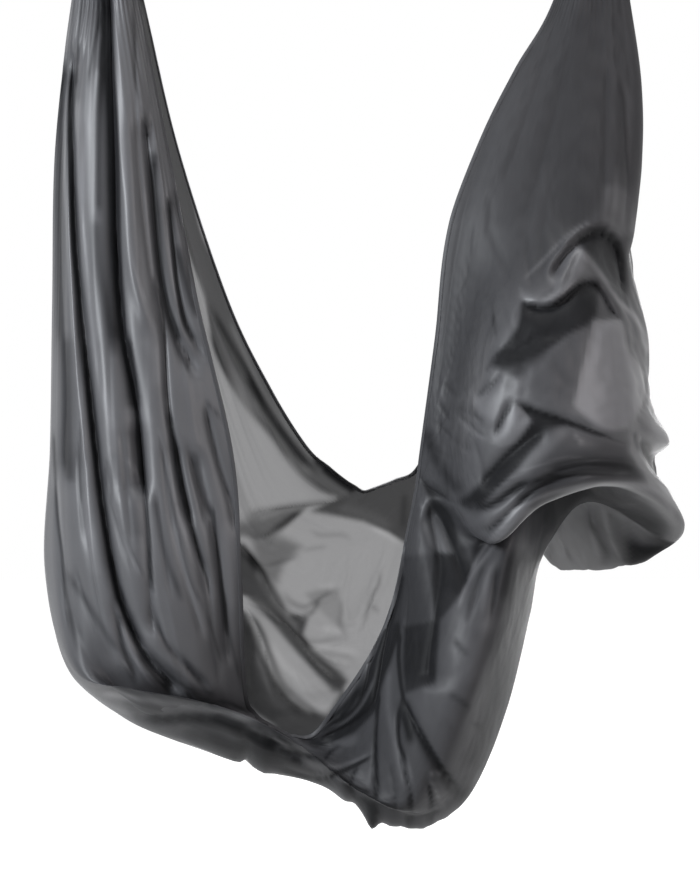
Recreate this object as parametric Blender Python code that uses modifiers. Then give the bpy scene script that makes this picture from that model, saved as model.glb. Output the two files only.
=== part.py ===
"""Aerial yoga hammock: a wide tricot sheet gathered at both ends, hung from two oval screw-lock carabiners.

Units are metres, +Z is up, +X runs from the left anchor to the right one, and the front faces -Y.
The origin lies midway between the two points where the carabiners bear on their anchors.
"""
import math

import bmesh
import bpy
import numpy as np
from mathutils import Matrix, Vector

# Rigging
ANCHOR_SPACING = 1.0
ROD_RADIUS = 0.005
EYE_HALF_WIDTH = 0.025
TOP_BAR_Z = ROD_RADIUS
BOTTOM_BAR_Z = -0.102
TOP_CORNER = 0.020
BOTTOM_CORNER = 0.0135
NOSE_END_Z = -0.033
NOSE_SHOULDER_Z = -0.0185
HINGE_SHOULDER_Z = -0.0895
HINGE_Z = -0.082
CATCH_Z = -0.026
CAM_HEIGHT = 0.0033
TONGUE_THICK = 0.0036
TONGUE_STEP = 0.0002
FORK_GAP = 0.0044
PIN_RADIUS = 0.0015
PIN_BORE = 0.0018
GATE_RADIUS = 0.0048
GATE_TOP_Z = -0.0192
GATE_FOOT_Z = -0.0862
GATE_BORE = 0.0027
GATE_BORE_TOP_Z = -0.042
NOSE_SLOT_Z = -0.0375
HINGE_SLOT_Z = -0.0768
GATE_SIDES = 20
PLUNGER_RADIUS = 0.0019
PLUNGER_TOP_Z = -0.066
SPRING_RADIUS = 0.0019
SPRING_WIRE = 0.0003
SPRING_TURNS = 7
SLEEVE_RADIUS = 0.0072
SLEEVE_BORE = 0.0052
SLEEVE_LOW_Z = -0.061
SLEEVE_HIGH_Z = -0.0405
SLEEVE_FLUTES = 12
FLUTE_DEPTH = 0.0007

# Webbing sling and the channel sewn in the sheet's end
WEB_WIDTH = 0.020
WEB_THICK = 0.0022
WEB_WRAP = ROD_RADIUS + 0.0016
CHANNEL_Z = -0.195
CHANNEL_LENGTH = 0.084
CHANNEL_HALF_WIDTH = 0.024
CHANNEL_HALF_HEIGHT = 0.019
CHANNEL_RUFFLES = 9
RUFFLE_DEPTH = 0.0028
TUNNEL_WIDTH = 0.025
TUNNEL_HEIGHT = 0.0072
TACK_LENGTH = 0.034
CLEARANCE = 0.0003

# The sheet. Its places are in centimetres, as they look from VIEW_DISTANCE in front at VIEW_HEIGHT.
VIEW_DISTANCE = 4.2
VIEW_HEIGHT = -1.34
CM = 0.01
SHEET_THICK = 0.0035
NECK_Z = -21.6
NECK_FADE = 0.25
NECK_ACROSS = 50.2
NECK_SQUASH = 0.5
NECK_SQUASH_FADE = 12.0
MAIN_FOLDS = 13
FOLD_DEPTH = 0.021
FOLD_LEAN = 0.006
ROWS_ACROSS = 24
LENGTHWAYS = {"fabric_left_leg": 22, "fabric_seat": 25, "fabric_right_leg": 25}
SPANS = {"fabric_left_leg": (0.0, 5.2), "fabric_seat": (5.2, 15.0), "fabric_right_leg": (15.0, 26.0)}
JOIN_SHARE = 0.12

# Guides: lines along the sheet from the left neck (station 0) to the right neck (station 26).
# Each starts with its share of the sheet's width, from the back hem at 0 to the front hem at 1.
# A place is station, across, depth, height. Stations 16 to 18 go in under the cowl and out over its lip.
GUIDES = [
    (0.00, [(0, -48.6, 1.5, NECK_Z), (1, -42.5, 4, -45.1), (2, -35.4, 8, -75), (3, -25.2, 12, -106),
            (4, -17, 17, -124), (5, -10.5, 22, -136), (7, -3.5, 27, -144), (10, 3, 29, -145.4),
            (15, 12.5, 29, -140.5), (17, 16, 26, -133), (20, 22, 20, -110), (23, 32, 11, -76),
            (25, 43, 4, -46), (26, 48.4, 1.5, NECK_Z)]),
    (0.10, [(0, -49.2, 3, NECK_Z), (1, -44.5, 6, -45.1), (2, -38.5, 11, -75.6), (3, -31.5, 16, -106),
            (4, -24, 25, -132), (5, -18, 31, -147), (7, -8, 36, -154), (10, 1, 38, -156),
            (15, 15, 30, -147), (17, 21, 24, -136), (20, 27, 20, -112), (23, 36, 12, -76),
            (25, 45, 5, -46), (26, 49, 3, NECK_Z)]),
    (0.22, [(0, -50, 3.8, NECK_Z), (1, -47.5, 7, -45.1), (2, -43.5, 12, -75.6), (3, -39, 17, -106),
            (4, -33, 26, -136), (5, -27, 34, -158), (7, -16, 40, -167), (10, -2, 41, -171),
            (13, 14, 36, -170), (15, 26, 26, -163), (16, 31, 20, -152), (17, 34, 20, -145),
            (18, 39, 25, -157.5), (19, 39, 28, -140), (21, 39, 22, -108), (23, 41, 13, -76),
            (25, 47.5, 5.5, -46), (26, 49.8, 3.8, NECK_Z)]),
    (0.34, [(0, -51, 3.4, NECK_Z), (1, -51.5, 7, -45.1), (3, -48.5, 15, -106), (4, -44, 24, -137),
            (5, -38, 33, -162), (7, -26, 36, -181), (10, -8, 31, -187), (13, 14, 27, -186),
            (15, 31, 20, -172), (16, 37, 15, -155), (17, 42, 15, -146), (18, 50, 24, -160.5),
            (19, 50, 27, -142), (21, 50, 20, -108), (23, 50, 12, -76), (25, 50.5, 5.5, -46),
            (26, 50.6, 3.4, NECK_Z)]),
    (0.43, [(0, -52, 2, NECK_Z), (1, -55, 5, -45.1), (3, -57.5, 9, -106), (4, -57, 15, -137),
            (5, -54, 21, -161), (7, -42, 22, -187), (9, -22, 17, -195), (11, 2, 12, -202),
            (13, 20, 13, -201), (14, 29, 14, -189), (15, 35, 12, -170), (16, 38, 9, -157),
            (17, 46, 9, -146), (18, 60, 15, -158.5), (19, 60.5, 17, -143), (21, 56, 13, -108),
            (23, 55, 8, -76), (25, 53, 4, -46), (26, 51.4, 2, NECK_Z)]),
    (0.50, [(0, -52.5, 0, NECK_Z), (1, -57, 0, -45.1), (2, -60.6, 0, -75), (3, -61.2, 0, -106),
            (4, -61.6, -1, -136), (5, -62.6, -3, -162), (6, -58.3, -5, -181), (7, -47.5, -7, -191),
            (8, -33, -8, -196), (9, -19, -8, -201), (10, -6.5, -8, -204.3), (11, 2, -8, -210),
            (12, 13, -6, -212.5), (13, 23, -3, -206.5), (14, 30.5, 2, -190), (15, 35.5, 5, -170),
            (16, 38.2, 4, -158), (17, 47, 3, -147), (18, 66, 0, -152), (18.6, 64, -2, -145.5),
            (19.2, 59, -4, -138), (19.5, 63.6, -5, -135), (20, 60, -6, -128), (21, 59.5, -6, -113),
            (22, 55.8, -3, -99), (22.5, 57, -4, -92), (23, 58.5, -3, -79), (24, 58.6, -2, -63),
            (25, 56.4, -1, -46), (26, 52, 0, NECK_Z)]),
    (0.56, [(0, -52.2, -1.8, NECK_Z), (1, -56, -4, -45.1), (2, -59.5, -5, -75), (3, -60, -6, -106),
            (4, -60.4, -8, -136), (5, -61, -11, -160), (6, -56, -20, -181), (7, -45, -26, -184.6),
            (8, -32, -28, -187), (9, -20, -26, -191), (10, -9, -22, -197.5), (11, -1, -18, -204),
            (12, 13, -17, -210), (13, 22.5, -16, -203), (14, 28.5, -15, -187), (15, 33, -11, -172),
            (16, 36.5, -6, -159), (17, 42, -5, -142.5), (18, 54.5, -24, -144), (19, 55.5, -27, -136),
            (20, 56, -25, -125), (21, 54.5, -21, -110), (22, 52, -12, -98), (22.5, 53, -12, -90),
            (23, 54.5, -8, -76), (25, 53, -4, -46), (26, 51.4, -2, NECK_Z)]),
    (0.64, [(0, -51.4, -2.8, NECK_Z), (1, -53.5, -6, -45.1), (2, -57, -10, -75), (3, -57.5, -13, -106),
            (4, -57, -16, -136), (5, -55.5, -19, -160), (6, -51, -21, -178), (7, -43, -18, -189),
            (8, -31, -15, -192.5), (9, -19, -14, -195.5), (10, -8.5, -14, -198.5), (11, 1, -20, -205),
            (12, 10, -23, -208.5), (13, 18, -26, -200), (14, 24, -29, -186), (15, 29, -27, -172),
            (16, 33, -22, -155), (17, 35, -17, -146), (18, 39.5, -30, -147), (19, 40, -34, -138),
            (20, 41.5, -32, -124), (21, 44.5, -28, -107), (22, 46.5, -21, -96), (22.5, 47.5, -16, -90),
            (23, 48, -11, -76), (25, 49.6, -5, -46), (26, 50.4, -3, NECK_Z)]),
    (0.75, [(0, -50, -3.6, NECK_Z), (1, -50, -8, -45.1), (2, -49.4, -14, -75), (3, -49, -17, -106),
            (4, -48, -21, -136), (5, -46, -24, -160), (6, -41, -23, -180), (7, -35, -16, -188),
            (8, -27, -13, -191.5), (9, -17, -11, -194.5), (10, -8.5, -11, -197.5), (11, 0, -17, -202),
            (12, 7.5, -22, -203), (13, 11.5, -25, -195), (14, 15.5, -27, -184), (15, 20, -27, -170),
            (16, 24, -22, -160), (17, 26, -20, -155), (18, 28, -28, -154.5), (19, 25.5, -27, -141),
            (20, 28, -28, -124), (21, 33, -25, -107), (22, 37, -19, -96), (23, 40, -12, -76),
            (25, 46, -6, -46), (26, 49.4, -3.4, NECK_Z)]),
    (0.87, [(0, -48.8, -3.4, NECK_Z), (1, -46.5, -8, -45.1), (2, -42, -13, -75), (3, -39.5, -16, -106),
            (4, -37.5, -20, -136), (5, -35, -23, -160), (6, -31, -21, -182), (7, -27, -15, -189),
            (8, -21, -12, -191.5), (9, -14, -9, -194), (10, -7, -8, -196.5), (11, 0, -13, -196),
            (12, 4.5, -17, -188), (14, 10, -18, -175), (16, 14, -16, -155), (17, 16, -13, -146),
            (18, 18, -15, -141), (20, 22, -15, -119), (22, 27, -14, -92), (23, 32, -11, -74),
            (25, 43, -5, -46), (26, 48.6, -2.8, NECK_Z)]),
    (1.00, [(0, -48.2, -1.6, NECK_Z), (1, -43.5, -4, -45.1), (2, -37.5, -9, -75), (3, -31.5, -13, -106),
            (4, -24.4, -16, -136.5), (5, -22.6, -18, -160), (6, -21.6, -14, -184), (7, -19.5, -10, -189.5),
            (8, -16, -8, -192), (9, -11.5, -7, -194.4), (10, -6.5, -7, -195.5), (11, -2, -9, -189),
            (12, 2.5, -12, -177), (14, 8, -13, -164.5), (16, 11, -10, -152), (17, 12.6, -9, -144),
            (18, 13.5, -9, -137), (20, 16.6, -10, -114), (22, 19.5, -10, -90.5), (23, 26, -8, -73),
            (24, 33, -6, -59), (25, 40.4, -4, -46), (26, 48.2, -1.6, NECK_Z)]),
]

# How deep the folds are along the sheet: station and share of FOLD_DEPTH.
FOLDS_ALONG = [(0, 0.12), (1, 0.45), (2, 0.9), (4, 1.0), (6, 0.75), (8, 0.4), (10, 0.25), (12, 0.45),
               (14, 0.4), (16, 0.3), (18, 0.35), (20, 0.4), (22, 0.35), (24, 0.3), (25, 0.3), (26, 0.1)]
# How deep they are across it: share of the width and share of FOLD_DEPTH.
FOLDS_ACROSS = [(0, 0.35), (0.15, 0.3), (0.35, 0.5), (0.5, 0.7), (0.6, 0.95), (0.9, 1.0), (1, 0.5)]

# The hanging weight must lie under the anchors, so the sheet leans forward by this share of its drop.
BALANCE_SHIFT = -0.0208

SHEET_COLOUR = (0.075, 0.076, 0.08)
WEBBING_COLOUR = (0.02, 0.02, 0.022)
STEEL_COLOUR = (0.62, 0.63, 0.65)
DARK_STEEL_COLOUR = (0.28, 0.285, 0.3)
SPRING_COLOUR = (0.5, 0.5, 0.5)


def clear_scene():
    for obj in list(bpy.data.objects):
        bpy.data.objects.remove(obj, do_unlink=True)


def new_collection(name):
    collection = bpy.data.collections.new(name)
    bpy.context.scene.collection.children.link(collection)
    return collection


def principled(name, colour, roughness, metallic):
    material = bpy.data.materials.new(name)
    material.use_nodes = True
    shader = material.node_tree.nodes["Principled BSDF"]
    shader.inputs["Base Color"].default_value = (*colour, 1.0)
    shader.inputs["Roughness"].default_value = roughness
    shader.inputs["Metallic"].default_value = metallic
    return material


def mesh_object(name, built, collection, material=None):
    """Takes a bmesh, with its faces turned outwards, into a new object."""
    bmesh.ops.recalc_face_normals(built, faces=built.faces)
    mesh = bpy.data.meshes.new(name)
    built.to_mesh(mesh)
    built.free()
    obj = bpy.data.objects.new(name, mesh)
    collection.objects.link(obj)
    if material:
        mesh.materials.append(material)
    mesh.shade_smooth()
    mesh.set_sharp_from_angle(angle=math.radians(35))
    return obj


def block(name, low, high, collection):
    """A box between two corners."""
    built = bmesh.new()
    size = [h - l for l, h in zip(low, high)]
    middle = [(h + l) / 2 for l, h in zip(low, high)]
    bmesh.ops.create_cube(built, size=1.0, matrix=Matrix.Translation(middle) @ Matrix.Diagonal((*size, 1)))
    return mesh_object(name, built, collection)


def rod(name, start, end, radius, sides, collection, material=None):
    """A round bar between two points."""
    built = bmesh.new()
    start = Vector(start)
    run = Vector(end) - start
    turn = Vector((0, 0, 1)).rotation_difference(run).to_matrix().to_4x4()
    place = Matrix.Translation(start + run / 2) @ turn
    bmesh.ops.create_cone(built, cap_ends=True, segments=sides, radius1=radius, radius2=radius,
                          depth=run.length, matrix=place)
    return mesh_object(name, built, collection, material)


def boolean(obj, cutter, operation):
    modifier = obj.modifiers.new(operation.lower(), "BOOLEAN")
    modifier.operation = operation
    modifier.object = cutter
    modifier.solver = "EXACT"


def as_helper(obj):
    obj.hide_render = True
    obj.display_type = "WIRE"
    return obj


def curve_as_mesh(curve_object, collection, material):
    """Turns a bevelled curve into a closed mesh, so that it can be cut and joined."""
    graph = bpy.context.evaluated_depsgraph_get()
    name = curve_object.name
    mesh = bpy.data.meshes.new_from_object(curve_object.evaluated_get(graph))
    place = curve_object.matrix_world.copy()
    bpy.data.objects.remove(curve_object, do_unlink=True)
    built = bmesh.new()
    built.from_mesh(mesh)
    bmesh.ops.remove_doubles(built, verts=built.verts, dist=1e-6)
    bpy.data.meshes.remove(mesh)
    obj = mesh_object(name, built, collection, material)
    obj.matrix_world = place
    return obj


def tube(name, points, radius, bevel_resolution, collection, material):
    data = bpy.data.curves.new(name, "CURVE")
    data.dimensions = "3D"
    data.bevel_depth = radius
    data.bevel_resolution = bevel_resolution
    data.use_fill_caps = True
    line = data.splines.new("POLY")
    line.points.add(len(points) - 1)
    for point, place in zip(line.points, points):
        point.co = (*place, 1.0)
    obj = bpy.data.objects.new(name, data)
    collection.objects.link(obj)
    bpy.context.view_layer.update()
    return curve_as_mesh(obj, collection, material)


def arc(centre, radius, start_deg, end_deg, steps):
    """Points of an arc in the X-Z plane."""
    angles = [math.radians(start_deg + (end_deg - start_deg) * i / steps) for i in range(steps + 1)]
    return [(centre[0] + radius * math.cos(a), 0.0, centre[1] + radius * math.sin(a)) for a in angles]


def frame_path():
    """The rod's centre line from the nose, over the top, down the spine and round to the hinge."""
    side = EYE_HALF_WIDTH
    top = TOP_BAR_Z
    low = BOTTOM_BAR_Z
    points = [(side, 0.0, NOSE_SHOULDER_Z)]
    points += arc((side - TOP_CORNER, top - TOP_CORNER), TOP_CORNER, 0, 90, 6)
    points += arc((TOP_CORNER - side, top - TOP_CORNER), TOP_CORNER, 90, 180, 6)
    points += arc((BOTTOM_CORNER - side, low + BOTTOM_CORNER), BOTTOM_CORNER, 180, 270, 5)
    points += arc((side - BOTTOM_CORNER, low + BOTTOM_CORNER), BOTTOM_CORNER, 270, 360, 5)
    points[-1] = (side, 0.0, low + BOTTOM_CORNER)
    return points


def tongue(name, low_z, high_z, half_width, collection):
    """A flat plate in the carabiner's plane, centred on the gate side."""
    half_thick = TONGUE_THICK / 2 - TONGUE_STEP
    return block(name, (EYE_HALF_WIDTH - half_width, -half_thick, low_z),
                 (EYE_HALF_WIDTH + half_width, half_thick, high_z), collection)


def carabiner_frame(side_name, parts, cutters, steel):
    frame = tube(side_name + "_carabiner_frame", frame_path(), ROD_RADIUS, 3, parts, steel)
    nose = as_helper(tongue(side_name + "_nose_tongue", NOSE_END_Z, NOSE_SHOULDER_Z + 0.004, 0.0036, cutters))
    hinge = as_helper(tongue(side_name + "_hinge_tongue", HINGE_SHOULDER_Z - 0.004, HINGE_Z, 0.0034, cutters))
    eye = as_helper(rod(side_name + "_hinge_eye", (EYE_HALF_WIDTH, -TONGUE_THICK / 2, HINGE_Z),
                        (EYE_HALF_WIDTH, TONGUE_THICK / 2, HINGE_Z), 0.0038, 20, cutters))
    bore = as_helper(rod(side_name + "_hinge_bore", (EYE_HALF_WIDTH, -0.01, HINGE_Z),
                         (EYE_HALF_WIDTH, 0.01, HINGE_Z), PIN_BORE, 12, cutters))
    flat = as_helper(block(side_name + "_cam_flat", (EYE_HALF_WIDTH - 0.006, -0.0042, HINGE_Z + CAM_HEIGHT),
                           (EYE_HALF_WIDTH + 0.006, 0.0042, HINGE_Z + 0.008), cutters))
    notch = as_helper(block(side_name + "_nose_notch", (EYE_HALF_WIDTH - 0.006, -0.01, CATCH_Z - 0.0021),
                            (EYE_HALF_WIDTH + 0.0019, 0.01, CATCH_Z + 0.0021), cutters))
    for helper, operation in ((nose, "UNION"), (hinge, "UNION"), (eye, "UNION"), (bore, "DIFFERENCE"),
                              (flat, "DIFFERENCE"), (notch, "DIFFERENCE")):
        boolean(frame, helper, operation)
    return frame, [nose, hinge, eye, bore, flat, notch]


def gate(side_name, parts, cutters, steel):
    """The gate bar, built about its hinge: forked at the foot for the tongue and at the head for the nose."""
    x = EYE_HALF_WIDTH
    half_gap = FORK_GAP / 2
    bar = rod(side_name + "_gate", (x, 0, GATE_FOOT_Z), (x, 0, GATE_TOP_Z), GATE_RADIUS, GATE_SIDES, parts, steel)
    cuts = [
        block(side_name + "_nose_slot", (x - 0.01, -half_gap, NOSE_SLOT_Z), (x + 0.01, half_gap, 0), cutters),
        block(side_name + "_hinge_slot", (x - 0.01, -half_gap, -0.1), (x + 0.01, half_gap, HINGE_SLOT_Z), cutters),
        rod(side_name + "_gate_bore", (x, 0, HINGE_SLOT_Z - 0.001), (x, 0, GATE_BORE_TOP_Z), GATE_BORE, 12, cutters),
        rod(side_name + "_rivet_bore", (x, -0.01, HINGE_Z), (x, 0.01, HINGE_Z), PIN_BORE, 12, cutters),
        rod(side_name + "_catch_bore", (x, -0.01, CATCH_Z), (x, 0.01, CATCH_Z), PIN_BORE, 12, cutters),
    ]
    for cutter in cuts:
        boolean(bar, as_helper(cutter), "DIFFERENCE")
    return bar, cuts


def fluted_sleeve(side_name, parts, cutters, steel):
    """A knurled collar: an open fluted wall, capped by its own rims."""
    sides = SLEEVE_FLUTES * 4
    levels = [(SLEEVE_LOW_Z, 0.0), (SLEEVE_LOW_Z + 0.0015, 1.0), (SLEEVE_HIGH_Z - 0.0015, 1.0), (SLEEVE_HIGH_Z, 0.0)]
    built = bmesh.new()
    rings = []
    for z, share in levels:
        ring = []
        for i in range(sides):
            angle = math.tau * i / sides
            flute = 0.5 + 0.5 * math.cos(SLEEVE_FLUTES * angle)
            radius = SLEEVE_RADIUS - FLUTE_DEPTH * (1 - share) - FLUTE_DEPTH * share * flute
            ring.append(built.verts.new((EYE_HALF_WIDTH + radius * math.cos(angle), radius * math.sin(angle), z)))
        rings.append(ring)
    for below, above in zip(rings, rings[1:]):
        for i in range(sides):
            j = (i + 1) % sides
            built.faces.new((below[i], below[j], above[j], above[i]))
    built.faces.new(rings[0])
    built.faces.new(rings[-1])
    sleeve = mesh_object(side_name + "_lock_sleeve", built, parts, steel)
    bore = rod(side_name + "_sleeve_bore", (EYE_HALF_WIDTH, 0, SLEEVE_LOW_Z - 0.01),
               (EYE_HALF_WIDTH, 0, SLEEVE_HIGH_Z + 0.01), SLEEVE_BORE, GATE_SIDES, cutters)
    boolean(sleeve, as_helper(bore), "DIFFERENCE")
    return sleeve, [bore]


def gate_spring(side_name, parts, steel):
    """A compression spring between the plunger and the bore's end."""
    foot = PLUNGER_TOP_Z + CLEARANCE + SPRING_WIRE
    head = GATE_BORE_TOP_Z - CLEARANCE - SPRING_WIRE
    count = SPRING_TURNS * 8
    points = []
    for i in range(count + 1):
        angle = math.tau * SPRING_TURNS * i / count
        points.append((EYE_HALF_WIDTH + SPRING_RADIUS * math.cos(angle), SPRING_RADIUS * math.sin(angle),
                       foot + (head - foot) * i / count))
    return tube(side_name + "_gate_spring", points, SPRING_WIRE, 1, parts, steel)


def sling_outline():
    """Half of the sling's middle line in the Y-Z plane, from the channel's middle up and over the bar."""
    run = CHANNEL_LENGTH / 2 + 0.0008
    low = CHANNEL_Z
    wrap = WEB_WRAP + WEB_THICK / 2
    turn = 0.0075
    points = [(0.0, low), (run * 0.5, low), (run, low)]
    for k in range(1, 6):
        angle = math.radians(-90 + 118 * k / 5)
        points.append((run + turn * math.cos(angle), low + turn + turn * math.sin(angle)))
    contact = math.radians(12)
    for k in range(7):
        angle = -contact + (math.pi / 2 + contact) * k / 6
        points.append((wrap * math.cos(angle), BOTTOM_BAR_Z + wrap * math.sin(angle)))
    return points


def sling(side_name, parts, webbing):
    """The webbing loop, swept as one closed band."""
    half = sling_outline()
    loop = half + [(-y, z) for y, z in half[-2:0:-1]]
    count = len(loop)
    built = bmesh.new()
    rings = []
    for i, (y, z) in enumerate(loop):
        before = Vector(loop[i - 1])
        after = Vector(loop[(i + 1) % count])
        along = (after - before).normalized()
        out = Vector((along.y, -along.x)) * WEB_THICK / 2
        ring = [built.verts.new((x, y + s * out.x, z + s * out.y))
                for x, s in ((-WEB_WIDTH / 2, -1), (WEB_WIDTH / 2, -1), (WEB_WIDTH / 2, 1), (-WEB_WIDTH / 2, 1))]
        rings.append(ring)
    for i in range(count):
        ring = rings[i]
        other = rings[(i + 1) % count]
        for k in range(4):
            built.faces.new((ring[k], ring[(k + 1) % 4], other[(k + 1) % 4], other[k]))
    return mesh_object(side_name + "_sling", built, parts, webbing)


def sling_overlap(side_name, parts, webbing):
    """The second thickness of webbing that is tacked on the sling's straight front strand."""
    half = sling_outline()
    upper = Vector(half[8])
    lower = Vector(half[7])
    along = (upper - lower).normalized()
    out = Vector((along.y, -along.x))
    middle = lower.lerp(upper, 0.5) + out * (WEB_THICK + CLEARANCE)
    start = middle - along * TACK_LENGTH / 2
    end = middle + along * TACK_LENGTH / 2
    built = bmesh.new()
    outline = [start - out * WEB_THICK / 2, end - out * WEB_THICK / 2,
               end + out * WEB_THICK / 2 - along * 0.001, start + out * WEB_THICK / 2 + along * 0.001]
    ends = []
    for x in (-WEB_WIDTH / 2, WEB_WIDTH / 2):
        ends.append([built.verts.new((x, -p.x, p.y)) for p in outline])
    built.faces.new(ends[0])
    built.faces.new(ends[1])
    for k in range(4):
        built.faces.new((ends[0][k], ends[0][(k + 1) % 4], ends[1][(k + 1) % 4], ends[1][k]))
    return mesh_object(side_name + "_sling_overlap", built, parts, webbing)


def sewn_channel(side_name, parts, cutters, cloth):
    """The sheet's turned-over end: a gathered tube along Y with ruffles, open where the sling runs."""
    sides = 20
    steps = CHANNEL_RUFFLES * 3
    built = bmesh.new()
    rings = []
    for i in range(steps + 1):
        share = i / steps
        y = CHANNEL_LENGTH * (share - 0.5)
        ruffle = math.cos(math.tau * CHANNEL_RUFFLES * share)
        mouth = 1 - 0.12 * abs(2 * share - 1) ** 4
        ring = []
        for k in range(sides):
            angle = math.tau * k / sides
            out = RUFFLE_DEPTH * 0.5 * ruffle * (0.7 + 0.3 * math.sin(2 * angle + 1.3))
            x = (CHANNEL_HALF_WIDTH * mouth + out) * math.cos(angle)
            z = (CHANNEL_HALF_HEIGHT * mouth + out * (0.2 if math.sin(angle) < -0.5 else 1)) * math.sin(angle)
            ring.append(built.verts.new((x, y, CHANNEL_Z + z)))
        rings.append(ring)
    for before, after in zip(rings, rings[1:]):
        for k in range(sides):
            j = (k + 1) % sides
            built.faces.new((before[k], before[j], after[j], after[k]))
    built.faces.new(rings[0])
    built.faces.new(rings[-1])
    channel = mesh_object(side_name + "_sewn_channel", built, parts, cloth)
    tunnel = block(side_name + "_tunnel", (-TUNNEL_WIDTH / 2, -CHANNEL_LENGTH, CHANNEL_Z - TUNNEL_HEIGHT / 2),
                   (TUNNEL_WIDTH / 2, CHANNEL_LENGTH, CHANNEL_Z + TUNNEL_HEIGHT / 2), cutters)
    boolean(channel, as_helper(tunnel), "DIFFERENCE")
    return channel, [tunnel]


def hermite(knots, values, at):
    """A smooth curve through values at rising knots, read at the given places."""
    knots = np.asarray(knots, float)
    values = np.asarray(values, float)
    at = np.asarray(at, float)
    slopes = np.empty_like(values)
    slopes[1:-1] = (values[2:] - values[:-2]) / (knots[2:] - knots[:-2])[:, None]
    slopes[0] = (values[1] - values[0]) / (knots[1] - knots[0])
    slopes[-1] = (values[-1] - values[-2]) / (knots[-1] - knots[-2])
    cell = np.clip(np.searchsorted(knots, at, side="right") - 1, 0, len(knots) - 2)
    step = (knots[cell + 1] - knots[cell])[:, None]
    u = (at - knots[cell])[:, None] / step
    start = values[cell] * (2 * u**3 - 3 * u**2 + 1) + slopes[cell] * step * (u**3 - 2 * u**2 + u)
    return start + values[cell + 1] * (3 * u**2 - 2 * u**3) + slopes[cell + 1] * step * (u**3 - u**2)


def as_hung(places):
    """Moves places from how they look in front to where they are, and from centimetres to metres."""
    places = places.copy()
    middle = np.sign(places[..., 0]) * NECK_ACROSS
    squash = 1 - NECK_SQUASH * (1 - np.clip((NECK_Z - places[..., 2]) / NECK_SQUASH_FADE, 0, 1)) ** 2
    places[..., 0] = middle + (places[..., 0] - middle) * squash
    places *= CM
    below_neck = np.clip((NECK_Z * CM - places[..., 2]) / NECK_FADE, 0, 1)
    spread = 1 + below_neck * places[..., 1] / VIEW_DISTANCE
    hung = places.copy()
    hung[..., 0] = places[..., 0] * spread
    hung[..., 2] = VIEW_HEIGHT + (places[..., 2] - VIEW_HEIGHT) * spread
    hung[..., 1] += BALANCE_SHIFT * np.clip(-hung[..., 2] - 0.216, 0, None)
    return hung


def sheet_middle(stations, shares):
    """The sheet's middle surface without its folds, as rows along it by columns across it."""
    lines = np.stack([hermite([g[0] for g in guide], [g[1:] for g in guide], stations) for _, guide in GUIDES])
    knots = [share for share, _ in GUIDES]
    rows = [hermite(knots, lines[:, i], shares) for i in range(len(stations))]
    return as_hung(np.stack(rows))


def share_at(table, at):
    return hermite([k for k, _ in table], [[v] for _, v in table], at)[:, 0]


def folded(middle, stations, shares):
    """Adds the long folds: round ridges with narrow valleys that lean a little to one side."""
    along = np.gradient(middle, axis=0)
    across = np.gradient(middle, axis=1)
    out = np.cross(along, across)
    out /= np.linalg.norm(out, axis=2, keepdims=True) + 1e-12
    side = across / (np.linalg.norm(across, axis=2, keepdims=True) + 1e-12)
    phase = math.pi * MAIN_FOLDS * (shares + 0.01 * np.sin(9 * shares) + 0.006 * np.sin(31 * shares))
    ridge = np.abs(np.sin(phase)) - 0.6
    lean = np.sin(2 * phase)
    depth = np.outer(share_at(FOLDS_ALONG, stations), share_at(FOLDS_ACROSS, shares))
    bulge = (FOLD_DEPTH * depth * ridge)[..., None] * out
    return middle + bulge + (FOLD_LEAN * depth * lean)[..., None] * side


def fabric_part(name, parts, cloth):
    """One stretch of the sheet: an open grid given its thickness."""
    first, last = SPANS[name]
    rows = LENGTHWAYS[name]
    stations = np.linspace(first, last, rows)
    gap = (last - first) / (rows - 1) * JOIN_SHARE
    stations[0] += gap if first > 0 else 0
    stations[-1] -= gap if last < 26 else 0
    shares = np.linspace(0, 1, ROWS_ACROSS + 1)
    points = folded(sheet_middle(stations, shares), stations, shares)
    built = bmesh.new()
    grid = [[built.verts.new(p) for p in row] for row in points]
    for below, above in zip(grid, grid[1:]):
        for i in range(ROWS_ACROSS):
            built.faces.new((below[i], below[i + 1], above[i + 1], above[i]))
    obj = mesh_object(name, built, parts, cloth)
    shell = obj.modifiers.new("thickness", "SOLIDIFY")
    shell.thickness = SHEET_THICK
    shell.offset = 0
    return obj


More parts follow.
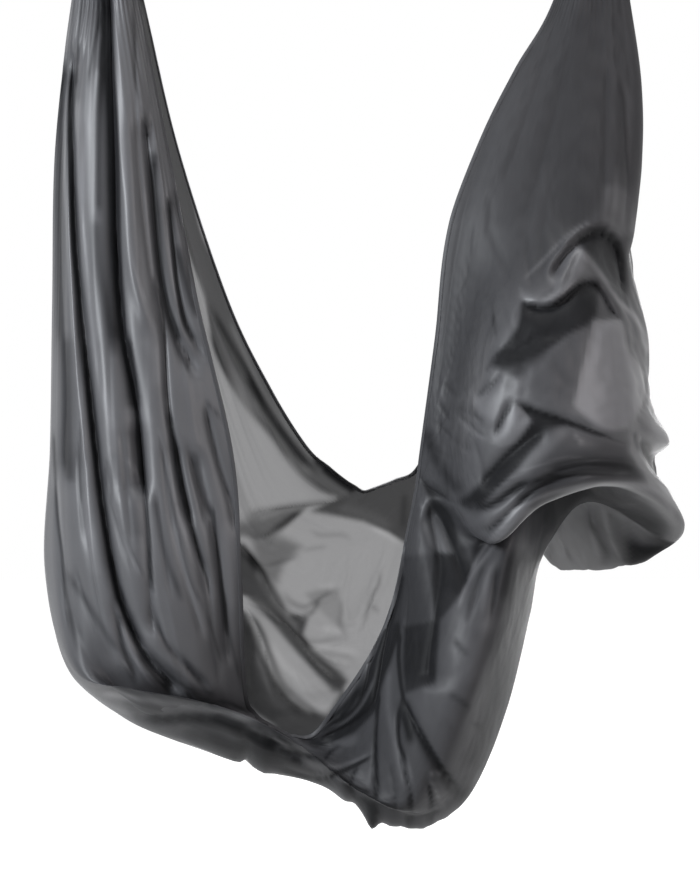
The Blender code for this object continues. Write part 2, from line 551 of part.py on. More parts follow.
def hang_rigging(side_name, x, parts, cutters, finishes):
    """Builds one side's carabiner, sling and channel about its own anchor, then moves them there."""
    steel, dark_steel, spring_steel, webbing, cloth = finishes
    hinge_line = (EYE_HALF_WIDTH, 0, HINGE_Z)
    frame, frame_helpers = carabiner_frame(side_name, parts, cutters, steel)
    bar, gate_helpers = gate(side_name, parts, cutters, steel)
    sleeve, sleeve_helpers = fluted_sleeve(side_name, parts, cutters, dark_steel)
    rivet = rod(side_name + "_hinge_rivet", (EYE_HALF_WIDTH, -0.0047, HINGE_Z), (EYE_HALF_WIDTH, 0.0047, HINGE_Z),
                PIN_RADIUS, 12, parts, steel)
    nose_pin = rod(side_name + "_nose_pin", (EYE_HALF_WIDTH, -0.0045, CATCH_Z), (EYE_HALF_WIDTH, 0.0045, CATCH_Z),
                   PIN_RADIUS, 12, parts, steel)
    plunger = rod(side_name + "_gate_plunger", (EYE_HALF_WIDTH, 0, HINGE_Z + CAM_HEIGHT + CLEARANCE),
                  (EYE_HALF_WIDTH, 0, PLUNGER_TOP_Z), PLUNGER_RADIUS, 10, parts, steel)
    spring = gate_spring(side_name, parts, spring_steel)
    loop = sling(side_name, parts, webbing)
    overlap = sling_overlap(side_name, parts, webbing)
    channel, channel_helpers = sewn_channel(side_name, parts, cutters, cloth)

    anchor = bpy.data.objects.new(side_name + "_anchor", None)
    pivot = bpy.data.objects.new(side_name + "_gate_pivot", None)
    for empty in (anchor, pivot):
        parts.objects.link(empty)
    pivot.parent = anchor
    pivot.location = hinge_line
    turning = [bar, sleeve, nose_pin, plunger, spring]
    for piece in turning:
        piece.data.transform(Matrix.Translation(Vector(hinge_line)).inverted())
        piece.parent = pivot
    for helper in gate_helpers + sleeve_helpers:
        helper.data.transform(Matrix.Translation(Vector(hinge_line)).inverted())
        helper.parent = pivot
    for piece in [frame, rivet, loop, overlap, channel] + frame_helpers + channel_helpers:
        piece.parent = anchor
    anchor.location = (x, 0, 0)


def main():
    clear_scene()
    parts = new_collection("aerial_yoga_hammock")
    cutters = new_collection("cutters")
    cutters.hide_render = True
    cloth = principled("sheet", SHEET_COLOUR, 0.42, 0.0)
    finishes = (
        principled("steel", STEEL_COLOUR, 0.25, 1.0),
        principled("sleeve_steel", DARK_STEEL_COLOUR, 0.35, 1.0),
        principled("spring_steel", SPRING_COLOUR, 0.3, 1.0),
        principled("webbing", WEBBING_COLOUR, 0.7, 0.0),
        cloth,
    )
    hang_rigging("left", -ANCHOR_SPACING / 2, parts, cutters, finishes)
    hang_rigging("right", ANCHOR_SPACING / 2, parts, cutters, finishes)
    for name in SPANS:
        fabric_part(name, parts, cloth)
    bpy.context.view_layer.update()


if __name__ == "__main__":
    main()
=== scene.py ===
"""Aerial yoga hammock: its looks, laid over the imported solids.

Metres, +Z up, +X from the left anchor to the right one, and the front faces -Y. The sheet is one surface
that runs from the left neck (station 0) to the right neck (station 26), and from its back hem (share 0) to
its front hem (share 1). Lines on it are given as they look from 4.2 m in front.
"""
import math

import bmesh
import bpy
import numpy as np
from bpy.props import FloatProperty, FloatVectorProperty, IntProperty, PointerProperty
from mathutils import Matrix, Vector


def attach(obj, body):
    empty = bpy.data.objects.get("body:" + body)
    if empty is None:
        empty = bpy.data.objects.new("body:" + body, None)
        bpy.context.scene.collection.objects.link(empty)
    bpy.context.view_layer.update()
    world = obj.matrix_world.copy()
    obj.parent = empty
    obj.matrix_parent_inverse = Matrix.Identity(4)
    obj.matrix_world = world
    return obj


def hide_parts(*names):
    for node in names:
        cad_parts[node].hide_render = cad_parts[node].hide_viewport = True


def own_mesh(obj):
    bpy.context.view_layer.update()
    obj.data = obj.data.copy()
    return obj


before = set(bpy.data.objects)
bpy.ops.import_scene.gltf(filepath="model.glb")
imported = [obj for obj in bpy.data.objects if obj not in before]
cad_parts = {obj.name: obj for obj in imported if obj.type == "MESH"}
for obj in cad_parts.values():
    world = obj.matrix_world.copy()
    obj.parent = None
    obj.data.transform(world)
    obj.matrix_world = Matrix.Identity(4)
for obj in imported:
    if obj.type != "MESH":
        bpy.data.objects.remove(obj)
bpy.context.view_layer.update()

bl_info = {
    "name": "Aerial yoga hammock",
    "version": (1, 0, 0),
    "blender": (4, 5, 0),
    "location": "View3D > Sidebar > Hammock",
    "description": "Builds a tricot aerial yoga hammock on its packed solids",
    "category": "Add Mesh",
}

CM = 0.01
TINY = 1e-12
SHORTEST = 1e-9
WHITE = (1.0, 1.0, 1.0, 1.0)

# Where the photograph was taken from, in metres.
VIEW_DISTANCE = 4.2
VIEW_ACROSS = -0.006
VIEW_HEIGHT = -1.34
# The necks: height, half of their distance and the reach of their narrowing in cm; below them, the reach in
# metres over which the view's perspective sets in.
NECK_Z = -21.6
NECK_ACROSS = 50.2
NECK_SQUASH = 0.5
NECK_SQUASH_FADE = 12.0
NECK_FADE = 0.25
# The sheet leans a little forwards below the channels, so that it hangs in balance.
BALANCE_SHIFT = -0.0208
BALANCE_FROM = 0.216
STATIONS = 26
SEED = 11

# The camera gives the photograph's scale: its 700 pixels across show the necks 492 pixels apart.
SENSOR_WIDTH = 36
CAMERA_LENS = SENSOR_WIDTH * 492 * VIEW_DISTANCE / 700
WORLD_LIGHT = 0.15
FLOOR_HALF = 14.0
FLOOR_Z = -2.6
LAMP_TARGET = (0.0, 0.0, -1.25)
# Name, place, size, energy and colour.
LAMPS = [
    ("key_left", (-3.4, -2.6, 0.4), (0.7, 1.8), 250.0, (0.92, 0.96, 1.0)),
    ("fill_right", (3.0, -2.8, 0.2), (0.8, 1.6), 60.0, (1.0, 0.94, 0.95)),
    ("back_glow", (0.4, 4.0, -0.9), (3.2, 3.2), 120.0, (1.0, 1.0, 1.0)),
    ("top_fill", (0.2, -0.8, 2.2), (1.6, 1.6), 50.0, (1.0, 1.0, 1.0)),
]

# Lines along the sheet: share, then (station, across, depth, up) in cm, as they look from the front.
GUIDES = [
    (0.00, [(0, -48.6, 1.5, NECK_Z), (1, -42.5, 4, -45.1), (2, -35.4, 8, -75), (3, -25.2, 12, -106),
            (4, -16.5, 17, -124), (5, -9.2, 22, -135.7), (6, -4.6, 25, -139.9), (7, -1.6, 27, -142.4),
            (8, 0.6, 28, -143.9), (9, 2.2, 28.5, -144.9), (10, 4.0, 29, -144.4), (13, 8.6, 29, -142.4),
            (15, 12.5, 29, -140.5), (17, 16, 26, -133), (20, 22, 20, -110), (23, 32, 11, -76),
            (25, 43, 4, -46), (26, 48.4, 1.5, NECK_Z)]),
    (0.10, [(0, -49.2, 3, NECK_Z), (1, -44.5, 6, -45.1), (2, -38.5, 11, -75.6), (3, -31.5, 16, -106),
            (4, -24, 25, -132), (5, -18, 31, -147), (7, -8, 36, -154), (10, 1, 38, -156),
            (15, 15, 30, -147), (17, 21, 24, -136), (20, 27, 20, -112), (23, 36, 12, -76),
            (25, 45, 5, -46), (26, 49, 3, NECK_Z)]),
    (0.22, [(0, -50, 3.8, NECK_Z), (1, -47.5, 7, -45.1), (2, -43.5, 12, -75.6), (3, -39, 17, -106),
            (4, -33, 26, -136), (5, -27, 34, -158), (7, -16, 40, -167), (10, -2, 41, -171),
            (13, 14, 36, -170), (15, 26, 26, -163), (16, 31, 20, -152), (17, 34, 20, -145),
            (18, 39, 25, -157.5), (19, 39, 28, -140), (21, 39, 22, -108), (23, 41, 13, -76),
            (25, 47.5, 5.5, -46), (26, 49.8, 3.8, NECK_Z)]),
    (0.34, [(0, -51, 3.4, NECK_Z), (1, -51.5, 7, -45.1), (3, -48.5, 15, -106), (4, -44, 24, -137),
            (5, -38, 33, -162), (7, -26, 36, -181), (10, -8, 31, -187), (13, 14, 27, -186),
            (15, 31, 20, -172), (16, 37, 15, -155), (17, 42, 15, -146), (18, 50, 24, -160.5),
            (19, 50, 27, -142), (21, 50, 20, -108), (23, 50, 12, -76), (25, 50.5, 5.5, -46),
            (26, 50.6, 3.4, NECK_Z)]),
    (0.43, [(0, -52, 2, NECK_Z), (1, -55, 5, -45.1), (3, -57.5, 9, -106), (4, -57, 15, -137),
            (5, -54, 21, -161), (7, -42, 22, -187), (9, -22, 17, -195), (11, 2, 12, -202),
            (13, 20, 13, -201), (14, 29, 14, -189), (15, 35, 12, -170), (16, 38, 9, -157),
            (17, 46, 9, -146), (18, 60, 15, -158.5), (19, 60.5, 17, -143), (21, 56, 13, -108),
            (23, 55, 8, -76), (25, 53, 4, -46), (26, 51.4, 2, NECK_Z)]),
    (0.50, [(0, -52.5, 0, NECK_Z), (1, -57, 0, -45.1), (2, -60.2, 0, -75), (3, -60.7, 0, -106),
            (4, -61.0, -1, -136), (5, -61.8, -3, -160.5), (6, -57.0, -5, -180.3), (7, -46.5, -7, -190.3),
            (8, -33, -8, -196), (9, -19, -8, -201), (10, -6.5, -8, -204.3), (11, 2, -8, -210),
            (12, 13, -6, -212.5), (13, 23, -3, -206.5), (14, 30.5, 2, -190), (15, 35.5, 5, -170),
            (16, 38.2, 4, -158), (17, 47, 3, -147), (18, 66, 0, -152), (18.6, 64, -2, -145.5),
            (19.2, 59, -4, -138), (19.5, 63.6, -5, -135), (20, 60, -6, -128), (21, 59.5, -6, -113),
            (22, 55.8, -3, -99), (22.5, 57, -4, -92), (23, 58.5, -3, -79), (24, 58.6, -2, -63),
            (25, 56.4, -1, -46), (26, 52, 0, NECK_Z)]),
    (0.56, [(0, -52.2, -1.8, NECK_Z), (1, -56, -4, -45.1), (2, -59.5, -5, -75), (3, -60, -6, -106),
            (4, -60.4, -8, -136), (5, -61, -11, -160), (6, -56, -20, -181), (7, -45, -26, -184.6),
            (8, -32, -28, -187), (9, -20, -26, -191), (10, -9, -22, -197.5), (11, -1, -18, -204),
            (12, 13, -17, -210), (13, 22.5, -16, -203), (14, 28.5, -15, -187), (15, 33, -11, -172),
            (16, 36.5, -6, -159), (17, 42, -5, -142.5), (18, 54.5, -24, -144), (19, 55.5, -27, -136),
            (20, 56, -25, -125), (21, 54.5, -21, -110), (22, 52, -12, -98), (22.5, 53, -12, -90),
            (23, 54.5, -8, -76), (25, 53, -4, -46), (26, 51.4, -2, NECK_Z)]),
    (0.64, [(0, -51.4, -2.8, NECK_Z), (1, -53.5, -6, -45.1), (2, -57, -10, -75), (3, -57.5, -13, -106),
            (4, -57, -16, -136), (5, -55.5, -19, -160), (6, -51, -21, -178), (7, -43, -18, -189),
            (8, -31, -15, -192.5), (9, -19, -14, -195.5), (10, -8.5, -14, -198.5), (11, 1, -20, -205),
            (12, 10, -23, -208.5), (13, 18, -26, -200), (14, 24, -29, -186), (15, 29, -27, -172),
            (16, 33, -22, -155), (17, 35, -17, -146), (18, 39.5, -30, -147), (19, 40, -34, -138),
            (20, 41.5, -32, -124), (21, 44.5, -28, -107), (22, 46.5, -21, -96), (22.5, 47.5, -16, -90),
            (23, 48, -11, -76), (25, 49.6, -5, -46), (26, 50.4, -3, NECK_Z)]),
    (0.75, [(0, -50, -3.6, NECK_Z), (1, -50, -8, -45.1), (2, -49.4, -14, -75), (3, -49, -17, -106),
            (4, -48, -21, -136), (5, -46, -24, -160), (6, -41, -23, -180), (7, -35, -16, -188),
            (8, -27, -13, -191.5), (9, -17, -11, -194.5), (10, -8.5, -11, -197.5), (11, 0, -17, -202),
            (12, 7.5, -22, -203), (13, 11.5, -25, -195), (14, 15.5, -27, -184), (15, 20, -27, -170),
            (16, 24, -22, -160), (17, 26, -20, -155), (18, 28, -28, -154.5), (19, 25.5, -27, -141),
            (20, 28, -28, -124), (21, 33, -25, -107), (22, 37, -19, -96), (23, 40, -12, -76),
            (25, 46, -6, -46), (26, 49.4, -3.4, NECK_Z)]),
    (0.87, [(0, -48.8, -3.4, NECK_Z), (1, -46.5, -8, -45.1), (2, -42, -13, -75), (3, -39.5, -16, -106),
            (4, -37.5, -20, -136), (5, -35, -23, -160), (6, -31, -21, -182), (7, -27, -15, -189),
            (8, -21, -12, -191.5), (9, -14, -9, -194), (10, -7, -8, -196.5), (11, 0, -13, -196),
            (12, 4.5, -17, -188), (14, 10, -18, -175), (16, 14, -16, -155), (17, 16, -13, -146),
            (18, 18, -15, -141), (20, 22, -15, -119), (22, 27, -14, -92), (23, 32, -11, -74),
            (25, 43, -5, -46), (26, 48.6, -2.8, NECK_Z)]),
    (1.00, [(0, -48.2, -1.6, NECK_Z), (1, -43.5, -4, -45.1), (2, -37.5, -9, -75), (3, -31.5, -13, -106),
            (4, -24.4, -16, -136.5), (5, -22.6, -18, -160), (6, -21.6, -14, -184), (7, -19.5, -10, -189.5),
            (8, -16, -8, -192), (9, -11.8, -7, -194), (10, -8, -7, -193.5), (11, -3.6, -9, -188),
            (12, 2, -12, -180), (13, 6, -12.5, -172.5), (14, 8.6, -13, -164.5), (16, 11, -10, -152),
            (17, 12.6, -9, -144), (18, 13.5, -9, -137), (20, 16.6, -10, -114), (22, 19.5, -10, -90.5),
            (23, 26, -8, -73), (24, 33, -6, -59), (25, 40.4, -4, -46), (26, 48.2, -1.6, NECK_Z)]),
]

# How deep the long folds are along the sheet (station, share) and across it (share of the width, share).
FOLDS_ALONG = [(0, 0.15), (1, 0.4), (2, 0.85), (4, 1.0), (6, 0.7), (7, 0.35), (8, 0.2), (10, 0.15), (12, 0.3),
               (14, 0.25), (16, 0.15), (18, 0.2), (20, 0.5), (22, 0.6), (24, 0.45), (25, 0.3), (26, 0.12)]
FOLDS_ACROSS = [(0, 0.15), (0.06, 0.2), (0.14, 0.95), (0.25, 1.3), (0.4, 1.1), (0.48, 0.25), (0.54, 0.05),
                (0.7, 0.03), (1, 0.03)]
NECK_PLEATS = [(0, 1.0), (0.6, 0.8), (1.2, 0.35), (2.2, 0.12), (5, 0.0), (24, 0.0), (25, 0.2), (25.6, 0.7),
               (26, 1.0)]
LONG_PLEATS = 13
LONG_DEPTH = 2.6
LONG_LEAN = 0.8
FINE_PLEATS = 37
FINE_DEPTH = 0.45
FINE_DEPTH_AT_NECKS = 0.5
PLEAT_MIDDLE = 0.6

# How close together the grid's rows are by station, and its columns by share.
ROW_DENSITY = [(0, 0.7), (5, 0.75), (6, 1.15), (9, 1.3), (11, 1.8), (13, 1.8), (14.5, 1.4), (19, 1.4),
               (22, 1.3), (23, 0.8), (26, 0.6)]
COLUMN_DENSITY = [(0, 1.5), (0.36, 1.5), (0.42, 1.0), (0.5, 0.9), (0.56, 1.15), (0.9, 1.1), (1, 1.1)]
DENSE_STEPS = 1200
# The shares at which the rows' distance and the cloth's length are measured.
ROW_SHARES = (0.3, 0.5, 0.8)
LENGTH_SHARES = (0.3, 0.75)

# Small creases: count, stations, shares, half length in stations, half width in shares, depth in cm, slope.
CREASES = [
    (14, (0.6, 6.5), (0.50, 1.0), 2.6, 0.007, 0.22, 0.004),
    (40, (0.6, 6.5), (0.02, 0.48), 2.2, 0.005, 0.4, 0.004),
    (36, (6, 11), (0.52, 0.99), 0.6, 0.007, 0.12, 0.05),
    (36, (6.5, 15), (0.02, 0.42), 0.7, 0.006, 0.12, 0.03),
    (12, (11, 17), (0.62, 0.99), 0.45, 0.010, 0.06, 0.06),
    (60, (17, 22.6), (0.52, 0.95), 0.35, 0.009, 0.18, 0.08),
    (50, (16, 24), (0.05, 0.46), 0.6, 0.006, 0.3, 0.04),
]
CREASE_LENGTHS = (0.5, 1.4)
CREASE_WIDTHS = (0.6, 1.6)
CREASE_DEPTHS = (0.4, 1.2)
CREASE_BEND = 0.6
CREASE_REACH = 1.6
CREASE_SIDE_REACH = 4

# Where a placed fold is looked at: how many widths from its line, and from what share of its layer. Its ends
# fade over so many cm, or a share of a short line's length.
FOLD_REACH = 6
MASK_FROM = 0.01
FOLD_SOFT_END = 4.0
FOLD_SOFT_SHARE = 0.45
VALLEY_POWER = 1.0
RIDGE_POWER = 1.8
# A valley whose two widths differ by more than this gets an overhang on its steeper side.
STEEP_FROM = 1.8
OVERHANG = 0.12
# How far into its stations a group of folds fades in and out.
FOLD_FADE = 0.6

# The limits in shares between the sheet's layers, and in stations between its parts.
INNER_TO = (0.44, 0.485)
FRONT_FROM = (0.49, 0.535)
BAND_FROM = (0.49, 0.52)
BAND_EDGE = (0.64, 0.68)
BAND_STARTS = (5.2, 6.0)
BAND_ENDS = (11.5, 13.5)
LEG_ENDS = (6.5, 8.5)
INNER_BELOW = 0.47
TONED_ABOVE = 0.49
OUTER_ABOVE = 0.51

# Where light passes: stations, shares, softness of both edges, amount.
SHEER_PATCHES = [
    ((2.0, 16.0), (0.0, 0.46), 1.0, 0.02, 0.185),
    ((16.5, 19.0), (0.2, 0.47), 0.4, 0.02, 0.16),
]
SHEER_GATHERED = 0.012
# A drawn line's reach in widths, its soft ends in cm or as a share of its length, and what it may leave.
LINE_REACH = 3
LINE_SOFT_END = 3.0
LINE_SOFT_SHARE = 0.3
SHEER_LINE_LIMITS = (0.1, 3)

# Where the settling cloth is held: share, width in shares, stations, amount.
HELD_LINES = [
    (0.0, 0.012, (0, 26), 1.0), (1.0, 0.012, (0, 26), 1.0), (0.5, 0.010, (0, 26), 0.9),
    (0.56, 0.012, (5.5, 12), 1.0), (0.64, 0.012, (5.5, 16), 0.9), (0.75, 0.010, (10, 17), 0.6),
    (0.10, 0.010, (6, 15), 0.3), (0.34, 0.012, (5, 13), 0.3),
]
# Stations, shares, amount.
HELD_PATCHES = [
    ((0.0, 6.0), (0.0, 1.0), 0.8), ((17.7, 18.3), (0.46, 0.76), 1.0), ((21.5, 26.0), (0.0, 1.0), 0.9),
    ((12.0, 17.0), (0.5, 1.0), 0.3), ((17.0, 21.5), (0.5, 1.0), 0.5),
]
# How far the held lines, patches and necks fade, in stations, and the patches in shares.
LINE_FADE = 0.4
PATCH_FADE = 0.3
PATCH_SIDE_FADE = 0.04
NECK_HOLD = 0.8
HOLD_LOOSE = 0.05
HOLD_FIRM = 0.45
CLOTH_QUALITY = 5
CLOTH_MASS = 0.02
CLOTH_STRETCH = 15.0
CLOTH_SHEAR = 0.3
CLOTH_BEND = 0.4
CLOTH_DAMPING = 5.0
# How much wider the cloth is cut than it hangs, by station.
CUT_WIDER = [(0, 1.0), (5.5, 1.0), (8, 1.3), (11, 1.3), (13, 1.2), (18, 1.15), (21, 1.1), (23, 1.03),
             (26, 1.0)]
# How much of the large shape is kept from the settling, and over how many neighbours it is read.
KEEP_SHAPE = 0.85
SHAPE_REACH = 9
SETTLE_FRAMES = 20
SETTLE_ROWS = 200
SETTLE_COLUMNS = 150
# Share of the settling that each part of the sheet keeps, by station.
SETTLED_SHARE = [(0, 0.15), (6, 0.15), (8, 0.8), (11, 0.8), (12.5, 0.4), (16, 0.4), (17.5, 1.0), (26, 1.0)]

# The leg's painted shading without lines, and how much of its relief shows in it as painted shade and light.
LEG_SHADING = 0.66
LEG_RELIEF = 0.35
# The painted shading of the band beside the leg, by station.
BAND_SHADING = [(5, 0.4), (7, 0.35), (8.5, 0.1), (10, 0.0), (26, 0.0)]
# How much of the outer side's relief shows in its painted shading, and the painted shading without it, by
# station.
RELIEF_KEPT = [(0, 0.45), (9, 0.4), (10, 0.4), (12, 0.32), (16, 0.32), (17, 0.75), (20, 0.9), (21.5, 0.35),
               (25.5, 0.35), (26, 0.8)]
OUTER_SHADING = [(0, 0.0), (9, 0.02), (10, 0.2), (12, 0.27), (16, 0.27), (17, 0.1), (20, 0.05), (21.5, 0.22),
              (25.5, 0.2), (26, 0.1)]
HIGHEST_SHADING = 2
# How relief is read for the cloth's painted shade and light: neighbours each way, strength for each metre.
RELIEF_SCALES = [(3, 160.0), (9, 60.0)]

# Points and notches of the lowest line: place in cm, width in cm, drop in cm.
EDGE_POINTS = [(-21.6, 0.9, 1.4), (-18.0, 1.4, -0.5), (0.2, 1.4, 1.2), (3.7, 1.3, -2.2), (7.4, 0.9, -0.3),
               (9.9, 0.5, 0.35), (13.9, 0.6, -0.3), (17.2, 0.9, 0.3), (20.0, 1.0, 0.2)]
# How far in shares from the line, and from which depth to which in cm below the anchors, they set in.
EDGE_REACH = 0.035
EDGE_DEPTHS = (186.0, 198.0)

# How much light passes the hems by station: the back one, then the front one; the back one's is raised as
# painted light.
HEM_SHEER = {0: [(0, 0.4), (9.3, 0.5), (10.4, 0.85), (13.5, 0.85), (16, 0.2), (26, 0.1)],
             -1: [(0, 0.05), (26, 0.05)]}
# The hems' even level of painted shading.
HEM_SHADING = 0.62


def traced(rows, lead=3):
    """Rows of some leading numbers and a line's places in millimetres; the places become centimetres."""
    return [(*row[:lead], [(row[i] / 10, row[i + 1] / 10) for i in range(lead, len(row), 2)])
            for row in rows]


# Fold lines of each layer: depth in cm (below zero for valleys), widths to the line's left and right
# in cm, then places along it in mm, across and up, as seen from the front.
LEG_FOLDS = traced([
    (-1.4, 1.1, 0.9, -583, -573, -592, -675, -594, -756, -596, -858, -594, -959, -590, -1061, -586, -1163,
     -583, -1264, -586, -1366, -583, -1427),
    (0.5, 0.35, 0.35, -575, -573, -583, -654, -583, -756, -581, -858, -577, -959, -571, -1061, -563, -1163,
     -555, -1264, -547, -1346, -543, -1407),
    (-2.6, 0.8, 0.8, -569, -532, -575, -654, -571, -756, -569, -858, -563, -959, -553, -1061, -543, -1163,
     -533, -1264, -522, -1366, -510, -1468, -492, -1569, -470, -1671, -437, -1752, -403, -1803, -342,
     -1864),
    (-0.35, 0.25, 0.25, -551, -695, -553, -756, -549, -858, -539, -980, -531, -1081, -522, -1163, -512,
     -1264),
    (-3, 0.7, 2.1, -496, -423, -492, -498, -490, -591, -486, -685, -484, -778, -482, -872, -478, -965, -472,
     -1059, -461, -1152, -445, -1228, -435, -1291, -427, -1366, -419, -1468),
    (-1.3, 0.7, 1.4, -441, -1305, -431, -1366, -421, -1468, -413, -1569, -409, -1671, -405, -1752),
    (0.7, 1.6, 0.8, -486, -471, -478, -654, -470, -756, -459, -858, -453, -959, -439, -1041, -413, -1122),
    (-0.4, 0.4, 0.4, -447, -471, -443, -573, -441, -654, -439, -756, -429, -858, -417, -959, -407, -1041),
    (-0.5, 0.5, 0.5, -427, -451, -421, -553, -415, -654, -407, -756),
    (-1.7, 0.8, 0.8, -425, -685, -419, -756, -411, -817, -405, -888, -398, -959, -386, -1041, -368, -1112,
     -340, -1173, -307, -1213),
    (-1.1, 0.6, 0.5, -380, -847, -372, -908, -366, -959, -356, -1041, -337, -1112, -311, -1163, -291,
     -1187),
    (-0.7, 0.4, 0.4, -366, -827, -352, -888, -337, -949, -327, -1010, -317, -1061),
    (-1.1, 0.35, 0.35, -407, -1010, -392, -1071, -382, -1142, -380, -1203, -376, -1264, -368, -1325, -358,
     -1376, -348, -1427, -337, -1478, -325, -1528, -313, -1579, -299, -1630, -289, -1671),
    (-1, 0.8, 0.8, -362, -1335, -352, -1407, -340, -1472, -329, -1528),
    (-1, 0.6, 0.6, -319, -1356, -307, -1427, -289, -1498, -276, -1569, -268, -1630, -262, -1671, -258,
     -1752, -252, -1803),
    (-0.7, 0.5, 0.5, -301, -1264, -289, -1325, -276, -1376, -258, -1437, -246, -1478, -236, -1539),
    (-0.8, 0.4, 0.4, -335, -1346, -323, -1407, -307, -1468, -295, -1528),
    (-0.9, 0.5, 0.5, -602, -1427, -596, -1508, -588, -1589, -583, -1671, -569, -1752, -543, -1809, -504,
     -1850),
    (-0.6, 0.5, 0.5, -563, -1589, -547, -1650, -525, -1711, -502, -1762, -478, -1797),
    (-0.8, 0.4, 0.4, -490, -1661, -478, -1711, -466, -1762, -445, -1803, -437, -1844),
    (-0.5, 0.4, 0.4, -453, -1671, -445, -1722, -425, -1772, -396, -1823),
    (-0.9, 0.5, 0.5, -407, -1671, -392, -1722, -372, -1762, -331, -1809, -281, -1854),
    (-0.5, 0.4, 0.4, -498, -1386, -490, -1468, -470, -1549, -433, -1620),
    (-0.4, 0.4, 0.4, -386, -1346, -380, -1427, -368, -1508, -348, -1589, -327, -1671, -301, -1752),
    (-0.5, 0.5, 0.5, -398, -1427, -392, -1508, -380, -1589, -368, -1671),
    (-0.5, 0.4, 0.4, -559, -1346, -555, -1427, -547, -1508, -539, -1569),
    (-0.35, 0.4, 0.4, -474, -1305, -466, -1386, -457, -1468, -447, -1569),
    (-0.4, 0.5, 0.5, -301, -1589, -291, -1671, -283, -1752, -266, -1833),
])

BOWL_FOLDS = traced([
    (-1.6, 0.3, 1, -224, -1502, -185, -1492, -128, -1480, -67, -1474, -2, -1463),
    (-0.6, 0.3, 0.3, -218, -1531, -197, -1541, -173, -1537, -148, -1522, -124, -1504, -91, -1484),
    (-0.5, 0.4, 0.5, -193, -1561, -165, -1551, -136, -1531, -116, -1512),
    (-0.25, 0.3, 0.3, -116, -1567, -77, -1563, -30, -1557),
    (-0.35, 0.4, 0.4, -197, -1602, -165, -1600, -132, -1592, -104, -1581),
    (-0.3, 0.4, 0.4, -159, -1573, -128, -1573, -98, -1569),
    (-0.9, 0.35, 0.9, -224, -1559, -203, -1579, -185, -1620, -163, -1661, -134, -1689, -102, -1699, -81,
     -1685, -69, -1669),
    (-0.45, 0.5, 0.4, -102, -1665, -71, -1655, -47, -1648, -30, -1657, -28, -1683),
    (-0.5, 0.4, 0.4, -108, -1754, -77, -1764, -37, -1762, -2, -1750),
    (-0.3, 0.3, 0.3, -41, -1716, -22, -1736, -6, -1758),
    (-1.4, 0.7, 0.7, -224, -1665, -185, -1679, -138, -1716, -98, -1768, -57, -1813, -10, -1842),
    (-0.8, 0.5, 0.5, -197, -1650, -165, -1695, -116, -1740, -63, -1777, -2, -1801),
    (-1.3, 0.6, 0.6, -224, -1671, -199, -1728, -177, -1783, -148, -1854, -108, -1886, -51, -1911),
    (-1, 0.7, 0.7, -215, -1701, -209, -1772, -205, -1854, -185, -1898),
    (-0.4, 0.3, 0.3, -87, -1783, -57, -1803, -2, -1833),
    (-1, 0.5, 0.5, -301, -1041, -258, -1142, -220, -1224, -185, -1285, -138, -1366, -108, -1407, -67, -1441,
     -10, -1461),
    (-0.5, 0.3, 0.3, -240, -1152, -199, -1234, -159, -1315, -114, -1386, -71, -1427),
    (0.4, 0.5, 0.5, -138, -1783, -108, -1833, -71, -1884),
    (-0.25, 0.3, 0.3, 55, -1620, 51, -1650, 43, -1675, 26, -1711),
    (-0.25, 0.3, 0.3, 39, -1671, 59, -1685),
    (-0.3, 0.5, 0.5, -2, -1589, -16, -1671, -2, -1722),
])

MASS_FOLDS = traced([
    (-1.6, 0.8, 0.8, 106, -1559, 100, -1610, 81, -1691, 63, -1772, 51, -1844, 39, -1884, -2, -1919, -71,
     -1951),
    (-0.9, 0.4, 0.4, 65, -1722, 39, -1783, 22, -1854, -6, -1898, -63, -1931),
    (-0.6, 0.35, 0.35, 30, -1783, 6, -1844, -16, -1884, -71, -1929),
    (-2.4, 2.4, 2.2, 152, -1468, 169, -1549, 177, -1610, 169, -1691, 157, -1772, 150, -1854),
    (-1.5, 0.6, 1, 96, -1854, 116, -1898, 144, -1949, 177, -2006, 207, -2047, 234, -2071),
    (-0.9, 0.5, 0.5, 89, -1874, 91, -1945, 100, -1996, 120, -2057),
    (-0.8, 0.5, 0.5, 51, -1874, 45, -1955, 45, -2027, 51, -2081),
    (-0.6, 0.35, 0.35, 71, -1986, 83, -2047, 89, -2122),
    (-0.7, 0.35, 0.35, 102, -2000, 118, -2067, 118, -2130),
    (-0.7, 0.35, 0.35, 144, -2006, 157, -2067, 165, -2126),
    (-0.6, 0.35, 0.35, 181, -2047, 189, -2088, 193, -2114),
    (-0.5, 0.3, 0.3, 258, -1614, 246, -1667, 230, -1720),
    (-0.4, 0.4, 0.4, 293, -1589, 285, -1650, 281, -1716),
    (-0.3, 0.3, 0.3, 197, -1748, 218, -1777, 240, -1809),
    (-0.35, 0.4, 0.4, 189, -1870, 226, -1896, 270, -1919),
    (-0.3, 0.4, 0.4, 177, -1905, 207, -1935, 248, -1951),
    (-1.5, 0.9, 1.1, 148, -1461, 177, -1508, 201, -1559, 222, -1620, 234, -1659),
    (-0.5, 0.6, 0.6, 106, -1427, 100, -1488, 104, -1559, 112, -1650, 106, -1752),
])

COWL_FOLDS = traced([
    (-1.5, 0.8, 0.7, 201, -1463, 238, -1482, 283, -1476, 323, -1449, 364, -1419),
    (-1, 0.6, 0.6, 234, -1531, 279, -1524, 323, -1484, 380, -1439, 461, -1415, 588, -1421),
    (-1.1, 0.5, 0.5, 128, -1407, 152, -1441, 187, -1461, 213, -1478),
    (-0.5, 0.4, 0.4, 340, -1451, 396, -1415, 461, -1396, 543, -1398),
    (-0.4, 0.4, 0.4, 238, -1589, 266, -1539, 309, -1492),
    (-0.5, 0.3, 0.3, 380, -1407, 431, -1390, 502, -1382, 571, -1390),
])

